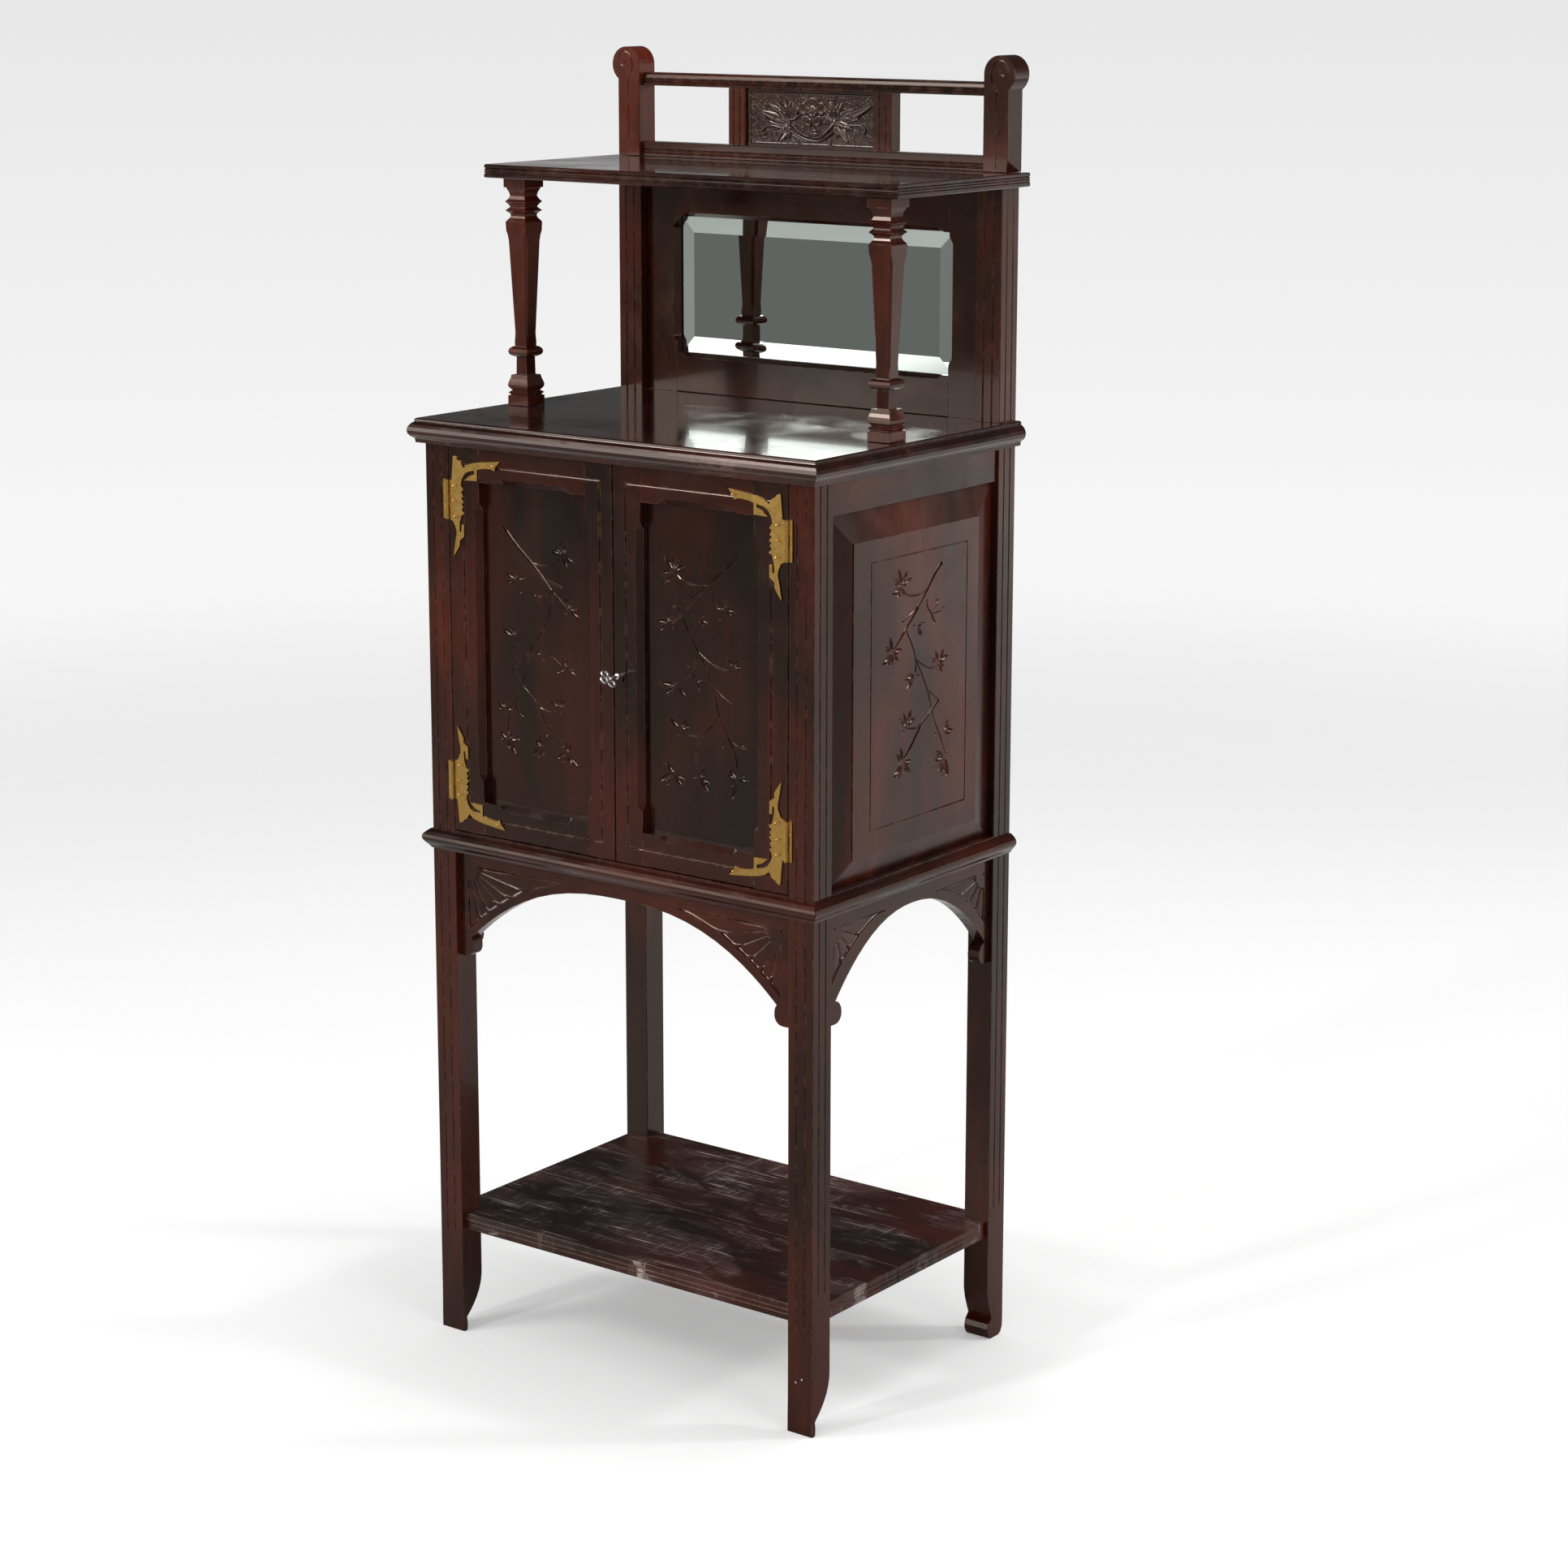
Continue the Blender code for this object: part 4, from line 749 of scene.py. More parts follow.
class Workshop:
    """The trees and hand tools that every carver here shares."""

    def __init__(self, finishes: Finishes) -> None:
        """Makes the trees.

        Args:
            finishes: The materials.
        """
        self.finishes = finishes
        self.strokes = stroke_tree()
        self.scatter = scatter_tree()
        self.stipple = stipple_tree()

    def stroke_mesh(
        self, paths: list, material: bpy.types.Material, sides: int = LINE_SIDES,
    ) -> bpy.types.Mesh:
        """Makes round strokes along several paths.

        Args:
            paths: Lists of (point, radius).
            material: Their finish.
            sides: Facets round a stroke.

        Returns:
            One mesh of all the strokes.
        """
        edges = []
        start = 0
        for path in paths:
            edges += [(start + i, start + i + 1) for i in range(len(path) - 1)]
            start += len(path)
        mesh = mesh_from("paths", [point for path in paths for point, _ in path], edges, [])
        thick = mesh.attributes.new("thick", "FLOAT", "POINT")
        thick.data.foreach_set("value", [radius for path in paths for _, radius in path])
        source = new_object("paths", mesh)
        return self.strokes.run(source, "strokes", Finish=material, Sides=sides, Thickness=1.0)

    def scatter_mesh(
        self, pattern: bpy.types.Object, places: list, material: bpy.types.Material,
    ) -> bpy.types.Mesh:
        """Makes copies of a pattern at several places.

        Args:
            pattern: The pattern's object, centred on its origin.
            places: Each (point, turn as Euler angles, size for each axis).
            material: Their finish.

        Returns:
            One mesh of all the copies.
        """
        mesh = mesh_from("places", [place[0] for place in places], [], [])
        for column, word in ((1, "turn"), (2, "size")):
            mark = mesh.attributes.new(word, "FLOAT_VECTOR", "POINT")
            mark.data.foreach_set("vector", [value for place in places for value in place[column]])
        source = new_object("places", mesh)
        return self.scatter.run(source, "copies", Finish=material, Pattern=pattern, Size=1.0)

    def carve(
        self, node: str, cutters: list[bpy.types.Mesh], material: bpy.types.Material, body: str,
        curved: bool = False,
    ) -> None:
        """Replaces a node by a carved copy of itself.

        Args:
            node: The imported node.
            cutters: Closed meshes whose space is cut away.
            material: The finish of the carved piece.
            body: The body that it rides on.
            curved: Whether faces that run from front to back are rounded, not planes.
        """
        made = new_object(f"carved_{node}", self.plain_copy(node, material))
        tool = new_object("cutters", self.joined(cutters, material))
        cut = made.modifiers.new("cut", "BOOLEAN")
        cut.operation = "DIFFERENCE"
        cut.solver = "EXACT"
        cut.use_self = True
        cut.object = tool
        result = shown_mesh(made)
        made.modifiers.remove(cut)
        made.data = result
        drop(tool)
        self.shade(result, curved)
        result.materials.clear()
        result.materials.append(material)
        result.update()
        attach(made, body)
        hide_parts(node)
        LOG.info("carved %s: %d faces", node, len(result.polygons))

    @staticmethod
    def plain_copy(node: str, material: bpy.types.Material) -> bpy.types.Mesh:
        """Copies a node's mesh with its flat faces whole again, ready for cutting.

        Args:
            node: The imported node.
            material: Its finish, in two slots: the second is for gouged faces.

        Returns:
            The copy.
        """
        mesh = frame["nodes"][node].data.copy()
        tidy = bmesh.new()
        tidy.from_mesh(mesh)
        bmesh.ops.remove_doubles(tidy, verts=tidy.verts, dist=1e-6)
        bmesh.ops.dissolve_limit(tidy, angle_limit=0.002, verts=tidy.verts, edges=tidy.edges)
        tidy.to_mesh(mesh)
        tidy.free()
        mesh.materials.clear()
        for _ in range(2):
            mesh.materials.append(material)
        return mesh

    @staticmethod
    def joined(cutters: list[bpy.types.Mesh], material: bpy.types.Material) -> bpy.types.Mesh:
        """Joins cutters into one mesh whose faces mark what they gouge.

        Args:
            cutters: Closed meshes.
            material: The finish, in two slots: the second is for gouged faces.

        Returns:
            The joined mesh.
        """
        mesh = bpy.data.meshes.new("cutters")
        both = bmesh.new()
        for cutter in cutters:
            both.from_mesh(cutter)
        bmesh.ops.recalc_face_normals(both, faces=both.faces)
        for face in both.faces:
            face.material_index = 1
        both.to_mesh(mesh)
        both.free()
        for _ in range(2):
            mesh.materials.append(material)
        return mesh

    @staticmethod
    def shade(mesh: bpy.types.Mesh, curved: bool) -> None:
        """Cleans a cut mesh, and shades its gouged faces smooth and its planes flat.

        Args:
            mesh: The cut mesh, whose gouged faces have material index 1.
            curved: Whether faces that run from front to back are rounded, not planes.
        """
        clean = bmesh.new()
        clean.from_mesh(mesh)
        bmesh.ops.dissolve_degenerate(clean, dist=1e-7, edges=clean.edges)
        bmesh.ops.triangulate(clean, faces=[f for f in clean.faces if len(f.verts) > 4])
        clean.to_mesh(mesh)
        clean.free()
        gouged = [p.material_index == 1 or (curved and abs(p.normal.y) < 0.9) for p in mesh.polygons]
        soften(mesh, crease=28.0)
        mesh.polygons.foreach_set("use_smooth", gouged)
        mesh.polygons.foreach_set("material_index", [0] * len(mesh.polygons))


def smooth_path(points: tuple[Point, ...], steps: int) -> list[Point]:
    """Lays a Catmull-Rom curve through points.

    Args:
        points: The points to pass through.
        steps: New points between each pair.

    Returns:
        The curve's points.
    """
    if len(points) < 3:
        return list(points)
    p = [points[0], *points, points[-1]]
    out = []
    for i in range(1, len(p) - 2):
        for k in range(steps):
            t = k / steps
            out.append(tuple(
                0.5 * (2 * p[i][a] + (p[i + 1][a] - p[i - 1][a]) * t
                       + (2 * p[i - 1][a] - 5 * p[i][a] + 4 * p[i + 1][a] - p[i + 2][a]) * t * t
                       + (3 * p[i][a] - p[i - 1][a] - 3 * p[i + 1][a] + p[i + 2][a]) * t ** 3)
                for a in range(2)
            ))
    out.append(points[-1])
    return out


# Carving


@dataclass(frozen=True)
class CarvedFace:
    """A flat face of the cabinet that gouges work on, with its own (u, v, depth) directions."""

    origin: Triple
    along: Triple
    inward: Triple

    @classmethod
    def front(cls, y: float) -> CarvedFace:
        """A face at y that looks out of the front, with u along +X."""
        return cls((0.0, y, 0.0), (1.0, 0.0, 0.0), (0.0, 1.0, 0.0))

    @classmethod
    def flank(cls, side: Side, node: str, middle: float) -> CarvedFace:
        """The outer face of a node at the side of the cabinet, with u along +Y.

        Args:
            side: Which side.
            node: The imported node.
            middle: Where u is 0, along Y.

        Returns:
            The face.
        """
        low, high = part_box(node)
        outer = max(abs(low.x), abs(high.x))
        return cls((side.value * outer, middle, 0.0), (0.0, 1.0, 0.0), (-side.value, 0.0, 0.0))

    def place(self, u: float, v: float, depth: float) -> Vector:
        """Finds a point of the face, or of the wood behind it.

        Args:
            u: Millimetres along the face.
            v: Height in millimetres.
            depth: Millimetres into the wood.

        Returns:
            The point in metres.
        """
        return (
            Vector(self.origin) + Vector(self.along) * u * MM + Vector(self.inward) * depth * MM
            + Vector((0.0, 0.0, v * MM))
        )

    def turn(self, degrees: float) -> Triple:
        """Finds the Euler angles that lay a gouge cut along a direction of the face.

        Args:
            degrees: Direction, from u towards up.

        Returns:
            The angles.
        """
        a = math.radians(degrees)
        length = Vector(self.along) * math.cos(a) + Vector((0.0, 0.0, math.sin(a)))
        depth = Vector(self.inward)
        matrix = Matrix((length, depth, length.cross(depth))).transposed()
        return tuple(matrix.to_euler("XYZ"))

    def line(self, points: list[Point], radius: float) -> list[tuple[Vector, float]]:
        """A fine incised line through points of the face, as a path of a stroke."""
        return [(self.place(u, v, LINE_SINK), radius * MM) for u, v in points]


@dataclass(frozen=True)
class Stem:
    """A twig: its points on the face and its width at each end, in millimetres."""

    points: tuple[Point, ...]
    start: float
    end: float


@dataclass(frozen=True)
class Flower:
    """Petals round a centre, each as (direction in degrees, length in millimetres)."""

    centre: Point
    petals: tuple[Point, ...]


@dataclass(frozen=True)
class Spray:
    """A carved spray on one face: twigs, flowers, and buds as (u, v, length).

    Lengths are in millimetres. Widths and a petal's depth are shares of the length.
    """

    stems: tuple[Stem, ...]
    flowers: tuple[Flower, ...]
    buds: tuple[Triple, ...]
    stem_share: float = 1.25
    stem_sink: float = 0.18
    stem_sides: int = 10
    petal_start: float = 1.3
    petal_width: float = 0.36
    petal_depth: float = 0.15
    width_change: float = 0.16
    depth_change: float = 0.12
    deepest: float = 2.7
    bud_width: float = 0.66
    bud_depth: float = 1.2
    bud_turn: Point = (20.0, 37.0)

    def cutters(
        self, shop: Workshop, face: CarvedFace, material: bpy.types.Material,
    ) -> list[bpy.types.Mesh]:
        """Makes the gouge cuts of the spray.

        Args:
            shop: The shared trees.
            face: The face that it is carved in.
            material: The finish.

        Returns:
            Closed meshes to cut away.
        """
        twigs = shop.stroke_mesh([self.twig(stem, face) for stem in self.stems], material, self.stem_sides)
        places = [petal for flower in self.flowers for petal in self.petals(flower, face)]
        places += [self.bud(bud, face) for bud in self.buds]
        pattern = new_object("gouge", gouge_mesh())
        gouges = shop.scatter_mesh(pattern, places, material)
        drop(pattern)
        return [twigs, gouges]

    def twig(self, stem: Stem, face: CarvedFace) -> list[tuple[Vector, float]]:
        """Lays a twig's path, which tapers from its start to its end.

        Args:
            stem: The twig.
            face: The face that it is carved in.

        Returns:
            The path's (point, radius) pairs.
        """
        line = smooth_path(stem.points, steps=3)
        path = []
        for i, (u, v) in enumerate(line):
            share = i / (len(line) - 1)
            width = self.stem_share * (stem.start + (stem.end - stem.start) * share)
            radius = width / WIDTH_OVER_RADIUS
            path.append((face.place(u, v, self.stem_sink * radius), radius * MM))
        return path

    def petals(self, flower: Flower, face: CarvedFace) -> list[tuple]:
        """Places a flower's petals, each a little wider or deeper than the last.

        Args:
            flower: The flower.
            face: The face that it is carved in.

        Returns:
            The (point, turn, size) of each petal.
        """
        cu, cv = flower.centre
        places = []
        for k, (angle, reach) in enumerate(flower.petals):
            a = math.radians(angle)
            spot = face.place(cu + self.petal_start * math.cos(a), cv + self.petal_start * math.sin(a), 0.0)
            length = reach - self.petal_start
            wide = length * self.petal_width * (1.0 + self.width_change * math.sin(2.7 * k + cu))
            deep = length * self.petal_depth * (1.0 + self.depth_change * math.cos(1.9 * k + cv))
            size = (length * MM, min(deep, self.deepest) * MM, wide * MM)
            places.append((spot, face.turn(angle), size))
        return places

    def bud(self, bud: Triple, face: CarvedFace) -> tuple:
        """Places one bud.

        Args:
            bud: Its (u, v, length).
            face: The face that it is carved in.

        Returns:
            Its (point, turn, size).
        """
        u, v, length = bud
        angle = self.bud_turn[0] + self.bud_turn[1] * math.sin(u)
        size = (length * MM, self.bud_depth * MM, self.bud_width * length * MM)
        return face.place(u - length / 2, v, 0.0), face.turn(angle), size


def gouge_mesh(stations: int = 9, across: int = 8, proud: float = 0.5) -> bpy.types.Mesh:
    """Makes one gouge cut, a unit long, wide and deep: pointed at both ends and hollow below.

    Args:
        stations: Cross-sections along it.
        across: Facets of its hollow floor.
        proud: How far it stands out of the wood.

    Returns:
        The cutter.
    """
    rings = []
    for i in range(stations):
        s = 0.02 + 0.96 * i / (stations - 1)
        wide = 0.5 * math.sin(math.pi * s ** 0.86) ** 0.75
        deep = math.sin(math.pi * s) ** 0.7
        ring = [(s, -proud, -wide)]
        for k in range(across + 1):
            t = -1.0 + 2.0 * k / across
            ring.append((s, deep * (1.0 - abs(t) ** 1.9) - 0.001, wide * t))
        ring.append((s, -proud, wide))
        rings.append(ring)
    count = len(rings[0])
    faces = []
    for i in range(stations - 1):
        for k in range(count):
            a = i * count + k
            b = i * count + (k + 1) % count
            faces.append((a, b, b + count, a + count))
    faces.append(tuple(reversed(range(count))))
    faces.append(tuple((stations - 1) * count + k for k in range(count)))
    return face_outward(mesh_from("gouge", [p for ring in rings for p in ring], [], faces))


LEFT_DOOR_SPRAY = Spray(
    stems=(
        Stem(((-170, 985), (-150, 965), (-128, 947), (-112, 932), (-98, 917)), 3.4, 1.9),
        Stem(((-108, 930), (-98, 927), (-84, 923)), 2.0, 2.4),
        Stem(((-98, 917), (-88, 910), (-80, 903), (-75, 899)), 1.7, 1.3),
        Stem(((-127, 948), (-119, 945.5), (-110, 945), (-100, 947), (-91, 951), (-85, 957)), 2.1, 1.4),
        Stem(((-97, 915), (-101, 897), (-106, 880), (-117, 864), (-135, 841), (-150, 828),
              (-158, 820)), 1.6, 1.2),
        Stem(((-158, 820), (-150, 811), (-143, 803), (-130, 792), (-120, 782), (-112, 768),
              (-109, 745)), 1.5, 1.4),
        Stem(((-126, 853), (-135, 830), (-141, 812), (-145, 801), (-153, 788), (-163, 771),
              (-167, 742)), 1.3, 1.5),
        Stem(((-112, 769), (-103, 759), (-92, 748), (-83, 738)), 1.6, 1.4),
        Stem(((-121, 782), (-111, 779), (-101, 778), (-93, 781)), 1.9, 1.4),
        Stem(((-153, 788), (-154, 778), (-151, 771), (-146, 769)), 1.1, 1.3),
        Stem(((-112, 868), (-108, 858), (-107, 849)), 1.2, 1.0),
        Stem(((-100, 843), (-93, 838), (-86, 833)), 1.5, 1.6),
        Stem(((-152, 857), (-141, 858), (-132, 861)), 1.6, 1.1),
        Stem(((-132, 935), (-140, 928), (-147, 927)), 1.0, 1.3),
    ),
    flowers=(
        Flower((-82, 961), ((172, 18), (150, 15), (98, 17), (62, 16), (-28, 19), (-68, 17))),
        Flower((-150, 926), ((165, 17), (205, 15), (100, 10), (12, 14))),
        Flower((-74, 899), ((-28, 18), (8, 13), (68, 13), (100, 14))),
        Flower((-156, 859), ((160, 19), (115, 12), (85, 12), (52, 11))),
        Flower((-79, 831), ((112, 15), (76, 14), (-22, 17), (-2, 12), (206, 17), (250, 10))),
        Flower((-90, 784), ((152, 15), (112, 12), (66, 15), (38, 15))),
        Flower((-170, 773), ((152, 14), (122, 11), (188, 12), (4, 12))),
        Flower((-167, 738), ((152, 15), (188, 15), (6, 20), (32, 15), (-56, 21), (-88, 13))),
        Flower((-118, 734), ((128, 14), (92, 14), (48, 12), (222, 16), (-104, 13), (-62, 10))),
        Flower((-80, 733), ((78, 16), (48, 15), (212, 17), (246, 14), (-38, 23), (-62, 15))),
        Flower((-120, 908), ((150, 9), (28, 11), (-70, 8))),
    ),
    buds=((-145, 911, 5), (-107, 912, 4), (-88, 911, 4), (-152, 851, 4), (-117, 842, 8), (-111, 836, 4.5),
          (-78, 894, 5), (-87, 777, 4.5), (-168, 766, 4.5), (-101, 854, 3.5), (-145, 768, 6)),
)
RIGHT_DOOR_SPRAY = Spray(
    stems=(
        Stem(((166, 983), (150, 969), (135, 957), (125, 950), (116, 941), (104, 933), (90, 926),
              (75, 919)), 2.6, 1.5),
        Stem(((116, 941), (108, 932), (98, 922), (88, 912), (80, 905), (74, 901)), 1.8, 1.3),
        Stem(((125, 950), (115, 947), (105, 946.5), (95, 948), (86, 952), (80, 957)), 2.0, 1.5),
        Stem(((82, 922), (88, 911), (96, 897), (106, 881), (113, 871), (121, 857), (130, 840)), 1.6, 1.5),
        Stem(((130, 840), (135, 822), (140, 804), (147, 791), (154, 779), (161, 767),
              (164, 755), (165, 745)), 1.5, 1.6),
        Stem(((110, 873), (121, 866), (134, 860), (148, 857.5), (160, 859)), 2.0, 1.5),
        Stem(((130, 840), (140, 830), (150, 824), (157, 821)), 1.2, 0.9),
        Stem(((112, 872), (107, 862), (104, 850), (106, 841)), 1.1, 1.2),
        Stem(((104, 851), (98, 845), (90, 838), (84, 833)), 1.0, 1.2),
        Stem(((140, 803), (130, 793), (118, 782), (108, 778), (98, 777.5), (89, 780)), 1.2, 1.9),
        Stem(((118, 782), (110, 768), (107, 753), (109, 741)), 1.0, 1.0),
        Stem(((130, 942), (131, 934), (134, 928), (140, 925)), 1.0, 1.6),
        Stem(((155, 779), (161, 776), (168, 773), (175, 773)), 1.5, 1.3),
    ),
    flowers=(
        Flower((77, 960), ((130, 20), (95, 19), (62, 16), (20, 19), (198, 18), (232, 20))),
        Flower((148, 925), ((80, 10), (182, 15), (-10, 14), (-42, 12))),
        Flower((112, 911), ((18, 13), (-22, 14), (-62, 12))),
        Flower((71, 901), ((112, 13), (138, 11), (60, 9), (180, 20), (216, 19))),
        Flower((157, 861), ((84, 12), (122, 12), (38, 17), (8, 13))),
        Flower((107, 839), ((20, 12), (-64, 12), (105, 9))),
        Flower((80, 831), ((178, 23), (214, 20), (98, 8), (-38, 17), (-72, 8))),
        Flower((85, 784), ((148, 20), (42, 16), (14, 14))),
        Flower((164, 738), ((142, 16), (172, 14), (-4, 17), (24, 12), (-106, 26), (-130, 14))),
        Flower((111, 732), ((48, 16), (22, 10), (-18, 17), (-48, 20), (186, 9))),
        Flower((76, 731), ((130, 18), (98, 13), (208, 24), (232, 20), (-16, 17), (-48, 16))),
        Flower((168, 775), ((18, 11), (-10, 9))),
    ),
    buds=((141, 911, 5), (104, 912, 4.5), (97, 854, 4.5), (74, 896, 4.5), (82, 776, 5), (145, 770, 5.5),
          (167, 768, 4), (84, 816, 4)),
)
FLANK_SPRAY = Spray(
    stems=(
        Stem(((48, 958), (38, 951), (28, 941), (18, 930), (8, 920), (-2, 913), (-14, 907),
              (-30, 902)), 4.0, 1.7),
        Stem(((23, 934), (13, 930), (1, 928), (-12, 929), (-22, 932), (-28, 938)), 2.2, 1.7),
        Stem(((2, 914), (-8, 905), (-20, 895), (-32, 884), (-45, 874)), 3.4, 2.6),
        Stem(((-22, 892), (-14, 880), (-6, 866), (-2, 855), (6, 843), (14, 830), (22, 815),
              (27, 801)), 1.8, 1.7),
        Stem(((27, 801), (31, 790), (38, 775), (46, 762), (53, 749), (57, 738)), 1.7, 1.5),
        Stem(((-3, 857), (7, 850), (18, 844), (30, 841), (43, 842)), 1.7, 2.0),
        Stem(((-3, 857), (-2, 848), (-3, 841)), 2.0, 2.6),
        Stem(((22, 817), (32, 810), (42, 803)), 1.1, 1.4),
        Stem(((44, 802), (34, 796), (22, 788), (10, 781), (-2, 778), (-15, 780), (-26, 784),
              (-33, 791)), 3.0, 1.8),
        Stem(((8, 778), (-2, 768), (-12, 757), (-24, 748)), 3.4, 3.0),
        Stem(((18, 921), (20, 911), (27, 903), (33, 893)), 1.6, 2.8),
        Stem(((28, 903), (38, 903), (46, 903.5)), 1.6, 1.8),
        Stem(((26, 907), (33, 909), (38, 911)), 1.3, 1.6),
    ),
    flowers=(
        Flower((-29, 941), ((150, 21), (110, 23), (62, 19), (24, 20), (196, 21), (228, 17),
                            (262, 12), (285, 12))),
        Flower((-47, 869), ((146, 19), (105, 21), (8, 18), (-40, 16), (204, 22), (232, 18), (262, 14))),
        Flower((43, 845), ((157, 18), (118, 17), (56, 17), (18, 19), (-62, 15), (-30, 13))),
        Flower((-4, 839), ((188, 21), (226, 24), (-12, 9))),
        Flower((-17, 783), ((150, 21), (118, 19), (72, 19), (28, 17))),
        Flower((-27, 741), ((130, 18), (98, 20), (4, 19), (-34, 20), (216, 21), (244, 19))),
        Flower((54, 763), ((58, 17), (30, 14), (-2, 20))),
        Flower((55, 735), ((152, 20), (182, 19), (238, 21), (262, 24), (290, 27))),
        Flower((-1, 893), ((6, 16), (-50, 17))),
    ),
    buds=((40, 913, 7), (34, 890, 7), (52, 903, 6), (-6, 893, 5), (40, 835, 5.5), (-24, 775, 5.5),
          (38, 762, 6), (62, 737, 7), (4, 837, 4)),
    petal_width=0.37, petal_depth=0.14, stem_share=1.12,
)


@dataclass(frozen=True)
class Fan:
    """A fan carved in the corner of an apron, in millimetres on its face.

    Its rays spread from a hub, and each flute ends in a scallop at a line that follows the arch. A
    flute's depths are that at the hub, what it gains towards the rim, and what it gains beside a ray.
    """

    hub: Point
    hub_radius: float
    rays: tuple[Point, ...]
    rim: tuple[Point, ...]
    notch: float = 0.13
    notch_from: float = 0.70
    depths: Triple = (0.28, 1.55, 0.75)
    facets: int = 9
    proud: float = 1.0
    overlap: float = 0.004
    line_radii: Point = (1.15, 0.9)
    dot_radii: Point = (1.5, 1.8)
    dot_half: float = 1.5

    def mirrored(self, about: float) -> Fan:
        """Makes the same fan for the other end of the apron.

        Args:
            about: Where the mirror line is, along the apron.

        Returns:
            The mirrored fan.
        """
        def flip(points: tuple[Point, ...]) -> tuple[Point, ...]:
            """Mirrors points."""
            return tuple((2 * about - u, v) for u, v in points)

        return replace(self, hub=flip((self.hub,))[0], rays=flip(self.rays), rim=flip(self.rim))

    def reach(self, angle: float) -> float:
        """Measures from the hub to the rim along a direction.

        Args:
            angle: Direction in radians.

        Returns:
            The distance in millimetres, or that of the rim's nearer end where the direction misses it.
        """
        du, dv = math.cos(angle), math.sin(angle)
        slack = 0.02
        hits = []
        for (u0, v0), (u1, v1) in zip(self.rim, self.rim[1:]):
            eu, ev = u1 - u0, v1 - v0
            cross = du * ev - dv * eu
            if abs(cross) < 1e-9:
                continue
            wu, wv = u0 - self.hub[0], v0 - self.hub[1]
            t = (wu * ev - wv * eu) / cross
            s = (wu * dv - wv * du) / cross
            if -slack <= s <= 1.0 + slack and t > 0:
                hits.append(t)
        if hits:
            return min(hits)
        ends = []
        for end in (self.rim[0], self.rim[-1]):
            eu, ev = end[0] - self.hub[0], end[1] - self.hub[1]
            away = abs(math.remainder(math.atan2(ev, eu) - angle, math.tau))
            ends.append((away, math.hypot(eu, ev)))
        return min(ends)[1]

    def cutters(
        self, shop: Workshop, face: CarvedFace, material: bpy.types.Material,
    ) -> list[bpy.types.Mesh]:
        """Makes the cuts of the fan: a hollow flute between each two rays, its top line and its hub.

        Args:
            shop: The shared trees.
            face: The apron's face.
            material: The finish.

        Returns:
            Closed meshes to cut away.
        """
        angles = [math.atan2(v - self.hub[1], u - self.hub[0]) for u, v in self.rays]
        for k in range(1, len(angles)):
            angles[k] = angles[k - 1] + math.remainder(angles[k] - angles[k - 1], math.tau)
        notches = [self.notch] * (len(angles) - 2) + [0.0]
        cuts = [self.flute(face, *rays) for rays in zip(angles, angles[1:], notches)]
        hub_u, hub_v = self.hub
        far_u, far_v = self.rays[0]
        start = hub_u + math.copysign(self.hub_radius, far_u - hub_u)
        line = [
            (face.place(start, far_v + 1.0, LINE_SINK), self.line_radii[0] * MM),
            (face.place(far_u, far_v, LINE_SINK), self.line_radii[1] * MM),
        ]
        dot = [
            (face.place(hub_u, hub_v + self.dot_half, 0.0), self.dot_radii[0] * MM),
            (face.place(hub_u, hub_v - self.dot_half, 0.0), self.dot_radii[1] * MM),
        ]
        return [*cuts, shop.stroke_mesh([line, dot], material)]

    def flute(self, face: CarvedFace, first: float, second: float, notch: float) -> bpy.types.Mesh:
        """Makes one flute as a closed cutter with a hollow, sloping floor.

        Args:
            face: The apron's face.
            first: Direction of its upper ray.
            second: Direction of its lower ray.
            notch: How far its end is stepped back at the lower ray.

        Returns:
            The cutter.
        """
        sides = self.facets
        at_hub, to_rim, by_ray = self.depths
        lean = math.copysign(self.overlap, second - first)
        floor, top = [], []
        for i in range(sides + 1):
            t = i / sides
            angle = (first - lean) + (second - first + 2 * lean) * t
            step = min(1.0, max(0.0, (t - self.notch_from) / (1.0 - self.notch_from)))
            reach = self.reach(first + (second - first) * min(0.995, max(0.005, t)))
            reach *= 1.0 - notch * step * step * (3 - 2 * step)
            for j in range(sides + 1):
                q = j / sides
                r = self.hub_radius + (reach - self.hub_radius) * q
                depth = at_hub + to_rim * q ** 1.6 + by_ray * abs(2 * t - 1) ** 5 * (1 - 0.4 * q)
                u, v = self.hub[0] + r * math.cos(angle), self.hub[1] + r * math.sin(angle)
                floor.append(face.place(u, v, depth))
                top.append(face.place(u, v, -self.proud))
        row = sides + 1
        count = row * row
        faces = []
        for i in range(sides):
            for j in range(sides):
                a = i * row + j
                quad = (a, a + 1, a + row + 1, a + row)
                faces.append(quad)
                faces.append(tuple(count + n for n in reversed(quad)))
        border = [i * row for i in range(row)]
        border += [sides * row + j for j in range(1, row)]
        border += [i * row + sides for i in range(sides - 1, -1, -1)]
        border += list(range(sides - 1, 0, -1))
        for a, b in zip(border, border[1:] + border[:1]):
            faces.append((b, a, a + count, b + count))
        return mesh_from("flute", floor + top, [], faces)


